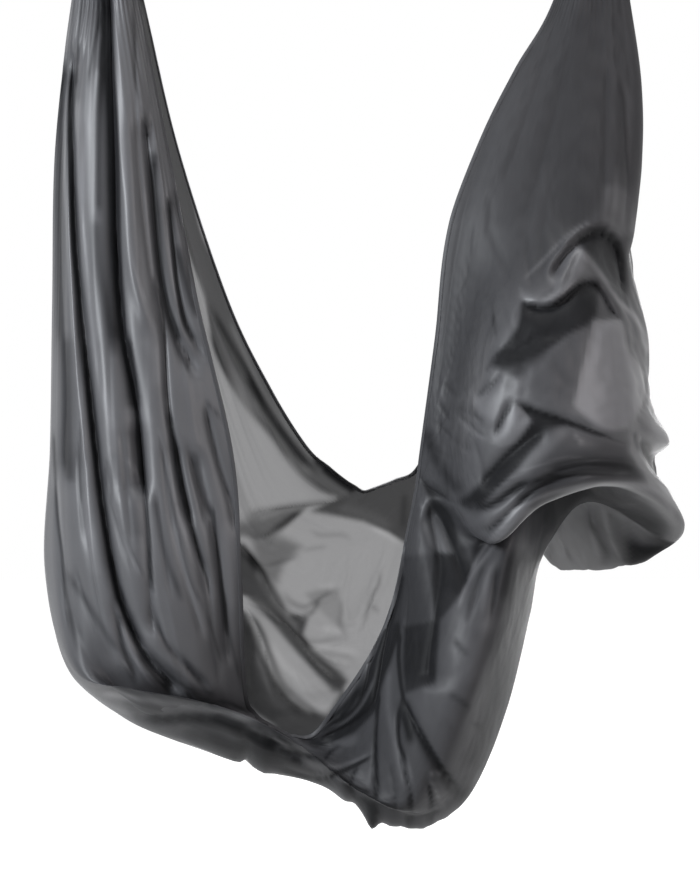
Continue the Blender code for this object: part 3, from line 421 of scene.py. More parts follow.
BULGE_FOLDS = traced([
    (0.9, 0.5, 0.5, 392, -1028, 394, -1000, 417, -963, 447, -931, 480, -910, 504, -904, 529, -917, 545,
     -939),
    (-2.4, 0.35, 1.7, 403, -1028, 411, -996, 431, -967, 459, -941, 490, -925, 514, -933, 535, -959, 543,
     -1010, 547, -1061),
    (0.7, 0.7, 0.7, 413, -1041, 433, -996, 455, -959, 482, -984, 512, -1022, 547, -1061),
    (-2.8, 0.35, 2.6, 333, -1061, 364, -1073, 401, -1073, 431, -1057, 455, -1032, 482, -1024, 502, -1039,
     525, -1079, 547, -1110),
    (-0.7, 0.5, 0.5, 356, -1049, 380, -1057, 405, -1043, 411, -1018),
    (-1.2, 1.5, 1.5, 299, -1183, 340, -1163, 390, -1132, 451, -1122),
    (-0.9, 0.5, 0.5, 268, -1209, 281, -1181, 303, -1163, 340, -1152),
    (-1.1, 0.5, 0.5, 244, -1262, 268, -1250, 289, -1224, 301, -1199),
    (-0.8, 0.4, 0.4, 197, -1280, 234, -1287, 266, -1309, 285, -1333),
    (-0.5, 0.3, 0.3, 215, -1215, 236, -1264, 254, -1305, 281, -1343),
    (-1.1, 0.6, 0.6, 281, -1352, 299, -1307, 315, -1274, 333, -1258),
    (-1.7, 0.6, 1.3, 327, -1266, 360, -1287, 396, -1299, 451, -1313, 502, -1333, 567, -1358),
    (-0.5, 0.5, 0.5, 157, -1301, 187, -1327, 218, -1354, 262, -1372),
    (-0.4, 0.4, 0.4, 146, -1346, 177, -1370, 222, -1390),
    (-2.2, 1.6, 1.6, 254, -1451, 295, -1398, 340, -1356, 396, -1313),
    (-0.9, 0.4, 0.4, 565, -1360, 571, -1325, 583, -1285, 596, -1240),
    (-1, 0.4, 0.4, 590, -1382, 583, -1348, 588, -1313, 600, -1285),
    (-0.3, 0.25, 0.25, 496, -1106, 488, -1152, 480, -1207),
    (-0.4, 0.3, 0.3, 279, -1073, 289, -1106, 299, -1134),
    (-0.35, 0.3, 0.3, 305, -1077, 315, -1106, 327, -1130),
    (-0.4, 0.3, 0.3, 340, -1020, 331, -1041, 344, -1061),
    (-0.5, 0.5, 0.5, 177, -1224, 201, -1248, 222, -1264),
    (-0.6, 0.5, 0.5, 169, -1264, 189, -1293, 207, -1313),
    (-0.5, 0.8, 0.8, 543, -1061, 567, -1112, 579, -1152, 594, -1203),
])

PANEL_FOLDS = traced([
    (-0.45, 1.4, 1.4, 380, -532, 299, -675, 238, -837, 207, -980, 187, -1122, 171, -1264),
    (-0.4, 0.8, 0.8, 514, -573, 514, -675, 512, -776, 508, -888),
    (-0.6, 0.5, 0.5, 547, -614, 555, -756, 557, -858, 551, -935),
    (-0.35, 1.4, 1.4, 472, -451, 431, -593, 390, -756, 340, -919),
    (-0.35, 1, 1, 421, -451, 390, -573, 350, -695, 299, -837),
])

BAND_FOLDS = traced([
    (-0.7, 0.5, 0.4, -514, -1890, -453, -1901, -401, -1903, -309, -1898, -250, -1907, -173, -1947, -83,
     -2004),
    (-0.8, 0.35, 0.35, -305, -1880, -250, -1878, -209, -1896, -165, -1917, -124, -1945),
    (-0.8, 0.35, 0.35, -234, -1929, -185, -1941, -144, -1966, -83, -1992),
    (-0.5, 0.5, 0.5, -266, -1945, -220, -1959, -165, -1955),
    (-0.7, 0.35, 0.35, -142, -1955, -108, -1976, -53, -1990),
    (-0.6, 0.35, 0.35, -108, -1951, -71, -1966, -16, -1964),
    (-0.9, 0.45, 0.45, -159, -2004, -108, -2020, -57, -2027, -6, -2006, 45, -1980),
    (-0.5, 0.4, 0.4, -18, -2012, -2, -2049, 6, -2073),
    (-0.5, 0.4, 0.4, -87, -2027, -57, -2057, -16, -2071),
    (-0.4, 0.5, 0.5, -413, -1919, -342, -1939, -281, -1959),
    (-0.5, 0.4, 0.4, -254, -1966, -230, -1986, -213, -2004),
    (-0.5, 0.4, 0.4, -140, -1919, -108, -1935, -67, -1931),
    (-0.5, 0.3, 0.3, -128, -1898, -83, -1915, -37, -1919),
    (-0.4, 0.3, 0.3, -47, -1951, -16, -1941, 14, -1919),
])

TAIL_FOLDS = traced([
    (-0.6, 0.35, 0.35, 413, -1468, 425, -1518, 433, -1589),
    (-0.9, 0.4, 0.4, 486, -1463, 494, -1518, 510, -1602),
    (-0.9, 0.4, 0.4, 506, -1463, 525, -1524, 551, -1602),
    (-0.6, 0.3, 0.3, 535, -1539, 547, -1573, 559, -1602),
    (-0.5, 0.3, 0.3, 388, -1539, 401, -1565, 415, -1594),
    (-0.5, 0.3, 0.3, 443, -1549, 449, -1579, 455, -1610),
    (-0.5, 0.3, 0.3, 470, -1559, 476, -1585, 482, -1614),
])

# How much light passes zones of the inner side: amount, soft edge in cm, outline in mm.
# It is low where the cloth lies doubled, and low beside the leg and in a middle crease as painted shade.
LAYER_AND_SHADE_ZONES = traced([
    # Rolled and doubled strip along the back hem
    (0.05, 0.4, -518, -457, -363, -892, -301, -1053, -284, -1162, -262, -1206, -228, -1245, -191, -1301,
     -145, -1365, -123, -1386, -103, -1417, -67, -1448, -21, -1469, 31, -1458, -21, -1411, -88, -1349, -140,
     -1276, -197, -1152, -311, -924, -415, -457),
    # Black roll before the notch
    (0.0, 0.12, -83, -1362, -57, -1388, -26, -1415, -2, -1435, 26, -1450, 10, -1454, -8, -1450, -30, -1434,
     -56, -1415, -79, -1388),
    # Flap of doubled cloth behind the bowl
    (0.035, 0.3, -88, -1490, -41, -1470, 10, -1445, 52, -1427, 156, -1390, 156, -1546, 110, -1557, 73,
     -1533, 21, -1511, -31, -1500),
    # Turned fold under the pale strip
    (0.07, 0.35, -249, -1515, -181, -1503, -140, -1489, -93, -1481, -104, -1494, -135, -1520, -171, -1541,
     -249, -1541),
    # Shade beside the leg
    (0.09, 1.1, -207, -1541, -145, -1541, -104, -1561, -140, -1598, -155, -1639, -192, -1613),
    # Crease shade in the middle
    (0.14, 0.6, -98, -1657, -62, -1644, -28, -1646, -24, -1702, -21, -1733, -41, -1717, -67, -1691, -83,
     -1676),
    # Folds gathered at the left
    (0.03, 0.4, -259, -1546, -220, -1556, -200, -1580, -179, -1616, -158, -1657, -132, -1699, -91, -1708,
     -101, -1740, -78, -1774, -10, -1834, -23, -1857, -41, -1857, -88, -1805, -140, -1746, -181, -1696,
     -215, -1663, -259, -1650),
    # Deep folds at the lower left
    (0.02, 0.4, -259, -1681, -220, -1694, -202, -1727, -184, -1779, -158, -1831, -124, -1873, -93, -1896,
     -56, -1903, -93, -1950, -140, -1940, -202, -1899, -259, -1857),
    # Bottom of the bowl
    (0.03, 0.5, -155, -1906, -52, -1901, -21, -1852, 21, -1909, -52, -2013, -181, -1992),
    # Far side of the cowl
    (0.015, 0.8, 555, -1428, 723, -1428, 723, -1584, 594, -1610, 560, -1604, 550, -1532, 563, -1470),
    # Puckered piece under the lip
    (0.34, 0.5, 373, -1482, 416, -1439, 490, -1426, 554, -1434, 558, -1508, 556, -1561, 562, -1615, 533,
     -1625, 490, -1625, 442, -1615, 394, -1604, 368, -1588),
], 2)

# Where light passes the outer side.
FRONT_ZONES = traced([
    # Pale patch on the bulge
    (0.085, 0.5, 490, -1104, 545, -1104, 560, -1169, 589, -1210, 583, -1272, 560, -1319, 526, -1327, 495,
     -1319, 451, -1272, 472, -1190),
], 2)

# Broad shade and light of the outer side, added to the tone that relief gives.
SHADE_AND_LIGHT_ZONES = traced([
    # Lower half of the second arc
    (-0.3, 1.0, 346, -1078, 394, -1072, 437, -1046, 469, -1027, 495, -1030, 495, -1072, 469, -1115, 416,
     -1147, 362, -1179, 309, -1200, 277, -1189, 309, -1147, 341, -1115),
    # Over the lip
    (-0.35, 1.0, 325, -1450, 373, -1397, 416, -1354, 442, -1327, 501, -1341, 554, -1357, 586, -1402, 599,
     -1426, 533, -1423, 469, -1423, 394, -1450, 341, -1482),
    # Hollow beside the diagonal
    (-0.35, 1.0, 373, -1290, 426, -1311, 394, -1343, 352, -1391, 309, -1434, 261, -1476, 224, -1471, 277,
     -1413, 325, -1354),
    # Pale patch on the bulge
    (1.05, 0.7, 490, -1104, 545, -1104, 560, -1169, 589, -1210, 583, -1272, 560, -1319, 526, -1327, 495,
     -1319, 451, -1272, 472, -1190),
    # Under the bulge's upper arc
    (-0.4, 0.7, 459, -935, 490, -916, 516, -920, 542, -941, 560, -1075, 542, -1060, 506, -1003, 469, -954),
    # Under its second arc
    (-0.5, 0.9, 345, -1068, 366, -1075, 407, -1070, 438, -1042, 469, -1025, 495, -1031, 498, -1091, 480,
     -1112, 438, -1127, 366, -1190, 335, -1221, 283, -1195, 272, -1202, 303, -1164, 335, -1117),
    # Slack cloth beside the pale patch
    (-0.15, 1.0, 366, -1190, 438, -1138, 490, -1107, 475, -1190, 454, -1272, 433, -1298, 366, -1267, 355,
     -1231),
    # Diagonal hollow over the cowl
    (-0.5, 1.0, 332, -1267, 407, -1288, 438, -1309, 397, -1324, 371, -1355, 335, -1397, 257, -1477, 215,
     -1470, 283, -1418, 335, -1366, 366, -1314),
    # Top of the cowl
    (-0.2, 1.2, 324, -1470, 407, -1407, 490, -1384, 558, -1381, 594, -1425, 516, -1428, 438, -1444, 366,
     -1480),
    # Facet between the arcs
    (0.25, 0.9, 397, -1018, 454, -946, 469, -961, 490, -1013, 459, -1023, 433, -1049, 402, -1066, 345,
     -1060, 335, -1034, 366, -1049, 407, -1039),
    # Facets at the left of the bulge
    (0.3, 0.5, 298, -1358, 283, -1350, 329, -1272, 366, -1304, 335, -1353),
    # Second facet
    (0.2, 0.5, 246, -1265, 298, -1223, 306, -1241, 277, -1324, 252, -1288),
    # Third facet
    (0.2, 0.5, 205, -1288, 246, -1314, 283, -1350, 246, -1337),
    # Hem at the upper right
    (0.25, 0.8, 506, -826, 568, -837, 576, -920, 542, -935, 506, -904),
    # Stripes beside the bowl
    (-0.28, 0.6, 98, -1623, 61, -1726, 36, -1797, 3, -1855, -35, -1897, -72, -1934, -93, -1955, -55, -1959,
     3, -1942, 40, -1897, 69, -1822, 98, -1726, 104, -1623),
    # Dark side of the mass
    (-0.42, 0.6, 166, -1575, 207, -1578, 232, -1632, 207, -1674, 177, -1712, 168, -1838, 106, -1860, 101,
     -1800, 104, -1725, 167, -1712, 161, -1637),
    # Left strip of the dark side
    (-0.2, 0.8, 100, -1581, 167, -1577, 165, -1711, 102, -1725),
    # Paler leaf under the diagonal
    (0.3, 0.6, 137, -1476, 158, -1485, 181, -1518, 193, -1543, 204, -1575, 176, -1573, 155, -1557, 143,
     -1520),
    # Hollow right of the leaf
    (-0.35, 0.7, 181, -1497, 204, -1534, 230, -1567, 237, -1604, 230, -1627, 209, -1581, 193, -1539),
    # Lit side of the mass
    (0.1, 1.5, 223, -1714, 289, -1706, 281, -1880, 268, -2046, 223, -2067, 164, -1984, 135, -1921, 110,
     -1863, 160, -1847, 169, -1776),
    # Turn of the mass to the right
    (-0.42, 2.4, 307, -1576, 391, -1576, 396, -1660, 363, -1781, 335, -1884, 293, -1996, 256, -2071, 223,
     -2099, 204, -2047, 242, -1963, 270, -1870, 293, -1753),
    # Under the lowest edge
    (-0.28, 1.2, -463, -1875, -370, -1921, -230, -1973, -52, -2026, 50, -2078, 134, -2094, 204, -2066, 242,
     -2047, 251, -2094, 144, -2183, 32, -2173, -52, -2094, -230, -2047, -416, -1987),
    # Turned corner at the bottom
    (-0.45, 0.4, 3, -2071, 47, -2071, 46, -2125, 36, -2141),
], 2)

# Painted shade and light of the leg's hollows and crests: amount, widths to the line's left and right in cm,
# places in mm.
LEG_SHADE_AND_LIGHT_LINES = traced([
    (-0.7, 0.84, 1.03, -587, -568, -594, -661, -596, -755, -597, -871, -596, -1011, -594, -1152),
    (-0.6, 1.44, 1.34, -592, -1122, -585, -1194, -582, -1290, -580, -1386, -571, -1443),
    (0.35, 0.42, 0.33, -574, -572, -583, -647, -586, -731, -586, -825, -581, -918, -576, -1011, -570, -1105,
     -566, -1152),
    (0.32, 0.67, 0.48, -566, -1122, -558, -1218, -549, -1314, -542, -1410, -541, -1486, -536, -1554),
    (-0.95, 1.03, 0.61, -572, -586, -576, -685, -575, -778, -570, -871, -566, -965, -560, -1058, -555,
     -1152),
    (-0.95, 0.67, 1.44, -552, -1122, -542, -1194, -531, -1266, -520, -1362, -513, -1434, -503, -1506, -494,
     -1578, -479, -1640, -465, -1688),
    (-0.7, 0.86, 1.06, -479, -1640, -465, -1683, -446, -1731, -422, -1769),
    (-0.5, 0.43, 0.43, -422, -1769, -402, -1793, -376, -1820, -345, -1844, -306, -1863),
    (0.4, 0.65, 0.47, -517, -577, -528, -638, -538, -703, -548, -787, -550, -871),
    (0.45, 1.03, 0.47, -561, -647, -561, -731, -556, -825, -549, -918, -542, -1011, -531, -1105, -524,
     -1152),
    (0.35, 0.67, 0.67, -531, -1122, -518, -1194, -503, -1266, -490, -1328),
    (0.3, 1.44, 1.44, -491, -1304, -483, -1347, -477, -1371),
    (-0.4, 0.37, 0.37, -500, -414, -507, -451, -517, -498, -531, -568, -540, -628),
    (-0.5, 0.37, 0.33, -547, -414, -553, -474, -560, -568, -563, -638),
    (-0.33, 0.3, 0.3, -563, -423, -570, -498, -577, -568),
    (-0.5, 0.75, 0.56, -506, -521, -512, -591, -516, -685, -517, -778, -517, -895),
    (-0.45, 1.12, 1.12, -524, -885, -517, -988, -505, -1058, -493, -1128, -484, -1180),
    (-1.25, 0.47, 2.34, -496, -414, -492, -498, -488, -591, -483, -685, -479, -778, -477, -871, -475, -965,
     -469, -1058, -462, -1152),
    (-1.15, 0.48, 2.11, -459, -1122, -451, -1170, -442, -1227, -435, -1290),
    (-0.8, 0.38, 0.58, -438, -1261, -429, -1338, -423, -1410, -418, -1486, -413, -1554, -411, -1602, -407,
     -1659),
    (0.48, 0.3, 0.3, -483, -414, -479, -521, -475, -614, -470, -708, -463, -801, -458, -895, -451, -965,
     -437, -1021, -418, -1077),
    (0.3, 1.25, 0.58, -435, -1266, -426, -1299, -410, -1323),
    (0.2, 1.25, 1.25, -443, -1136, -417, -1151, -398, -1184, -402, -1247),
    (-0.3, 0.33, 0.33, -447, -414, -444, -521, -442, -614, -432, -661),
    (-0.5, 0.42, 0.42, -429, -666, -421, -703, -415, -750),
    (-0.9, 0.7, 1.21, -402, -750, -404, -806, -400, -871, -395, -932, -390, -988, -380, -1058, -366, -1105,
     -347, -1152),
    (-0.4, 0.34, 0.34, -369, -1131, -354, -1165, -338, -1196, -318, -1220),
    (0.22, 0.56, 0.56, -425, -825, -418, -895, -409, -965, -401, -1035, -395, -1105),
    (-0.75, 0.75, 0.47, -376, -839, -371, -895, -365, -965, -357, -1035, -343, -1105, -319, -1152),
    (-0.65, 0.84, 0.84, -358, -941, -345, -1002, -330, -1058, -313, -1105),
    (0.25, 0.37, 0.37, -382, -825, -377, -895, -372, -965, -363, -1035, -353, -1081),
    (-0.48, 0.3, 0.3, -386, -1103, -382, -1170, -380, -1227, -376, -1280),
    (-0.95, 0.58, 0.67, -375, -1275, -368, -1323, -360, -1371, -350, -1434, -339, -1477, -325, -1530, -310,
     -1582, -298, -1621),
    (0.55, 0.67, 0.48, -359, -1477, -347, -1515, -334, -1554, -320, -1592, -303, -1630, -299, -1674),
    (0.3, 0.38, 0.38, -398, -1314, -383, -1371, -370, -1429, -358, -1486),
    (-0.35, 0.34, 0.34, -395, -1323, -384, -1391, -369, -1467, -355, -1534, -341, -1597, -325, -1645, -301,
     -1690),
    (0.45, 0.67, 0.38, -369, -1506, -358, -1563, -340, -1626, -321, -1678, -303, -1731, -298, -1760),
    (-0.45, 0.67, 0.67, -407, -1448, -395, -1506, -386, -1554, -374, -1602, -359, -1640, -346, -1678),
    (-0.45, 0.77, 0.58, -326, -1362, -320, -1410, -304, -1467, -287, -1506),
    (-0.75, 0.34, 0.62, -288, -1467, -280, -1515, -274, -1573, -268, -1630, -262, -1688, -255, -1750),
    (-0.45, 0.38, 0.38, -299, -1275, -287, -1338, -273, -1400, -254, -1453, -243, -1479),
    (-0.35, 0.34, 0.34, -307, -1260, -282, -1285, -258, -1313),
    (-0.35, 0.58, 1.06, -243, -1352, -234, -1419, -230, -1506, -228, -1602, -227, -1698, -224, -1793, -218,
     -1870),
    (-0.3, 0.48, 0.34, -499, -1371, -503, -1419, -491, -1477, -470, -1530, -446, -1582, -421, -1628),
    (0.25, 0.34, 0.34, -491, -1395, -470, -1381, -449, -1400, -437, -1431),
    (-0.25, 1.15, 1.15, -466, -1429, -450, -1496, -437, -1558),
    (0.6, 0.34, 0.34, -447, -1386, -435, -1424, -428, -1443),
    (0.3, 0.38, 0.38, -494, -1458, -474, -1520, -450, -1582, -425, -1630),
    (0.25, 0.38, 0.58, -430, -1530, -425, -1592, -416, -1638),
    (-0.5, 0.34, 0.34, -609, -1323, -605, -1419, -600, -1506, -591, -1578, -585, -1645, -573, -1707),
    (-0.7, 0.48, 0.72, -579, -1678, -565, -1746, -542, -1796, -513, -1837, -479, -1861),
    (0.26, 0.3, 0.3, -601, -1410, -594, -1506, -586, -1578, -584, -1618),
    (-0.39, 0.3, 0.3, -556, -1304, -555, -1362, -554, -1419, -551, -1486),
    (-0.4, 0.72, 0.72, -585, -1611, -558, -1650, -534, -1688, -510, -1726, -488, -1760, -469, -1780),
    (-0.35, 0.72, 0.72, -566, -1712, -546, -1760, -518, -1803, -489, -1832),
    (-0.6, 0.67, 0.67, -478, -1688, -472, -1741, -464, -1779, -450, -1817, -438, -1851),
    (0.58, 0.3, 0.3, -474, -1705, -460, -1750, -441, -1793, -421, -1827, -395, -1853),
    (0.58, 0.3, 0.3, -448, -1729, -436, -1755, -416, -1780),
    (-0.6, 0.58, 0.48, -446, -1765, -422, -1803, -397, -1832, -366, -1863),
    (-0.5, 0.48, 0.48, -402, -1698, -389, -1741, -375, -1769, -358, -1794),
    (-0.5, 0.67, 0.58, -350, -1779, -329, -1813, -301, -1851, -273, -1870),
    (0.48, 0.3, 0.3, -472, -1786, -460, -1804, -442, -1834),
    (-0.3, 0.38, 0.38, -297, -1688, -285, -1736, -273, -1779, -262, -1808),
    (-0.3, 0.38, 0.38, -262, -1650, -254, -1722, -239, -1793, -229, -1841),
    (0.25, 1.06, 1.06, -538, -1506, -532, -1578, -517, -1630),
    (0.2, 0.67, 0.67, -263, -1506, -254, -1602, -244, -1698),
])

# Painted shade and light of the hollows and crests of the rest of the outer side.
SHADE_AND_LIGHT_LINES = traced([
    (-0.35, 0.74, 0.74, 466, -926, 495, -922, 519, -931, 538, -947, 549, -976, 555, -1030, 556, -1059),
    (-0.25, 1.6, 1.6, 352, -1093, 405, -1093, 447, -1067, 479, -1051),
    (-0.3, 1.38, 1.38, 288, -1189, 325, -1163, 373, -1141, 421, -1115),
    (-0.5, 0.48, 0.48, 336, -1272, 373, -1290, 416, -1304, 447, -1314, 490, -1332, 527, -1337),
    (-0.5, 1.28, 1.28, 384, -1304, 362, -1338, 330, -1381, 293, -1423, 261, -1455, 235, -1468),
    (-0.4, 1.38, 1.38, 144, -1311, 166, -1375, 198, -1428, 235, -1460),
    (-0.5, 0.74, 0.74, 139, -1428, 166, -1471, 192, -1503, 203, -1535, 206, -1561),
    (-0.3, 0.48, 0.48, 251, -1258, 267, -1242, 285, -1221),
    (-0.35, 0.43, 0.43, 203, -1285, 229, -1306, 256, -1327, 280, -1349),
    (-0.4, 0.43, 0.43, 285, -1341, 299, -1311, 315, -1285, 328, -1269),
    (-0.3, 0.37, 0.37, 285, -1083, 288, -1115, 293, -1141),
    (-0.45, 0.53, 0.53, 570, -1322, 575, -1349, 583, -1375),
    (-0.3, 0.96, 0.96, 394, -1407, 447, -1397, 501, -1394, 554, -1399, 586, -1418),
    (-0.3, 0.74, 0.74, 235, -1503, 288, -1471, 330, -1444, 373, -1428, 437, -1418),
    (0.45, 0.64, 0.64, 450, -949, 471, -971, 501, -1008, 527, -1043, 554, -1075, 580, -1107, 594, -1147,
     599, -1179),
    (0.35, 1.06, 1.06, 405, -1008, 429, -976, 450, -963, 463, -992, 447, -1014),
    (0.3, 0.53, 0.53, 336, -1035, 341, -1051, 373, -1063, 405, -1056, 437, -1032, 466, -1015),
    (0.3, 0.43, 0.43, 341, -1024, 384, -982, 426, -939, 469, -910, 501, -905),
    (0.45, 0.74, 0.74, 299, -1349, 320, -1311, 336, -1285, 352, -1296, 325, -1338),
    (0.3, 0.96, 0.96, 229, -1237, 256, -1274, 283, -1296, 299, -1242),
    (0.25, 0.48, 0.48, 203, -1290, 235, -1322, 272, -1349),
    (0.5, 0.43, 0.43, 235, -1620, 261, -1572, 299, -1524, 341, -1484, 384, -1460, 426, -1447, 490, -1436,
     554, -1436, 607, -1444, 639, -1471, 655, -1503),
    (0.25, 0.27, 0.27, 277, -1455, 330, -1418, 384, -1394, 437, -1381, 479, -1380),
    (0.5, 0.64, 0.64, 602, -1298, 623, -1333, 634, -1351, 607, -1373, 594, -1381),
    (0.25, 0.74, 0.74, 535, -785, 534, -849, 531, -897),
    (0.3, 0.48, 0.48, 442, -1327, 458, -1341, 471, -1362),
    (-0.5, 1.2, 1.2, -428, -1911, -373, -1913, -330, -1911, -286, -1918, -243, -1932, -194, -1959, -148,
     -1981),
    (-0.35, 1.63, 1.63, -352, -1932, -297, -1948, -243, -1970, -199, -1981, -155, -1997),
    (-0.4, 0.44, 0.44, -294, -1880, -264, -1877, -232, -1888, -205, -1902),
    (0.35, 0.76, 0.76, -520, -1858, -466, -1866, -412, -1875, -352, -1883, -297, -1891, -243, -1902, -188,
     -1918),
    (-0.35, 0.42, 0.42, -90, -1977, -57, -2004, -24, -2030, 13, -2058, 50, -2079, 88, -2095, 125, -2105,
     167, -2102, 190, -2089),
    (-0.5, 0.47, 1.59, 104, -1863, 116, -1898, 141, -1945, 176, -2003, 221, -2064),
    (0.45, 0.56, 0.42, 372, -1478, 335, -1504, 302, -1539, 274, -1576, 246, -1613, 223, -1660, 211, -1697),
    (-0.3, 0.37, 1.21, 321, -1497, 284, -1539, 253, -1581, 228, -1623, 211, -1669),
    (0.25, 0.65, 0.65, 286, -1581, 273, -1623, 267, -1669, 258, -1711),
    (-0.3, 0.61, 0.61, 300, -1590, 291, -1627, 287, -1669, 284, -1707),
    (-0.2, 0.42, 0.42, 270, -1590, 253, -1632, 237, -1674, 230, -1707),
    (0.22, 1.87, 2.1, 314, -1651, 298, -1707, 265, -1725, 242, -1730),
    (0.12, 2.8, 2.8, 242, -1735, 232, -1791, 242, -1847),
    (-0.25, 0.65, 0.65, 202, -1746, 221, -1767, 239, -1788),
    (-0.25, 0.65, 0.65, 188, -1858, 214, -1872, 244, -1896),
    (-0.25, 0.56, 0.56, 237, -1917, 260, -1931, 279, -1952),
    (-0.3, 1.87, 3.73, 377, -1613, 354, -1730, 328, -1833, 295, -1931, 253, -2029),
    (-0.55, 0.42, 0.47, 54, -1847, 50, -1893, 46, -1940, 46, -1987, 48, -2047, 43, -2103, 40, -2164),
    (-0.55, 0.42, 0.47, 98, -1725, 93, -1781, 97, -1837, 102, -1875, 93, -1912, 93, -1954, 104, -1987, 115,
     -2015),
    (-0.5, 0.93, 0.93, 104, -1879, 112, -1935, 120, -1973),
    (-0.5, 0.51, 0.51, 116, -2052, 116, -2085, 115, -2127, 113, -2173),
    (-0.45, 0.51, 0.51, 153, -2033, 158, -2071, 158, -2117, 157, -2164),
    (0.25, 0.75, 0.75, 74, -1800, 71, -1875, 77, -1921, 88, -1977, 99, -2029, 113, -2052),
    (0.4, 0.47, 0.47, 151, -2026, 167, -2022, 185, -2030),
    (0.35, 0.42, 0.42, 152, -2029, 167, -2057, 180, -2087),
    (0.3, 0.42, 0.42, 105, -1977, 115, -2015, 121, -2052),
    (-0.45, 0.47, 1.12, 179, -2010, 199, -2045, 216, -2073),
    (-0.5, 0.61, 0.51, 100, -1604, 88, -1660, 74, -1716, 56, -1772, 33, -1828, 6, -1875),
    (0.3, 0.37, 0.37, 92, -1632, 76, -1693, 55, -1749, 32, -1795, 4, -1842, -34, -1889, -71, -1933),
    (-0.45, 0.79, 0.61, 93, -1707, 77, -1763, 56, -1819, 37, -1865, 14, -1903, -19, -1931, -51, -1946),
    (0.35, 0.37, 0.37, 47, -1823, 26, -1872, -5, -1910, -42, -1935, -75, -1946),
    (-0.6, 0.65, 0.65, 56, -1861, 33, -1899, 5, -1923, -33, -1946, -75, -1962, -95, -1959),
    (-0.5, 0.33, 0.33, 14, -1844, -5, -1882, -29, -1912),
    (-0.5, 0.37, 0.37, -169, -1933, -136, -1959, -104, -1983, -70, -1997),
    (0.3, 0.51, 0.51, -160, -1926, -127, -1946, -94, -1968, -65, -1981),
    (-0.5, 0.37, 0.37, -202, -1922, -169, -1951, -136, -1979, -94, -2011),
    (-0.6, 0.42, 0.42, -94, -2013, -62, -2026, -29, -2021, 8, -2004, 47, -1982),
    (0.35, 0.51, 0.51, -76, -1998, -43, -2010, -10, -2003, 32, -1985, 47, -1977),
    (0.25, 1.21, 1.21, -56, -1985, -20, -1963, 25, -1949),
    (-0.35, 0.47, 0.47, -64, -2002, -44, -1978, -20, -1963),
    (-0.4, 0.42, 0.42, -5, -2053, 0, -2026, 14, -2005),
    (-0.45, 0.56, 0.56, -29, -2034, -5, -2048, 22, -2058, 47, -2062),
    (-0.6, 1.03, 1.03, 15, -2078, 28, -2099, 40, -2129, 50, -2169),
    (-0.45, 1.12, 1.12, -286, -1973, -230, -1983, -183, -1979, -136, -2002, -80, -2034, -29, -2058),
    (0.35, 0.79, 0.79, -258, -1898, -220, -1909, -188, -1912, -155, -1918, -134, -1929),
    (-0.4, 0.42, 0.42, -234, -1933, -202, -1955, -181, -1978),
    (-0.45, 0.42, 0.42, -160, -1917, -122, -1934, -93, -1946),
    (-0.5, 0.61, 0.61, -118, -1927, -85, -1932, -56, -1921),
])
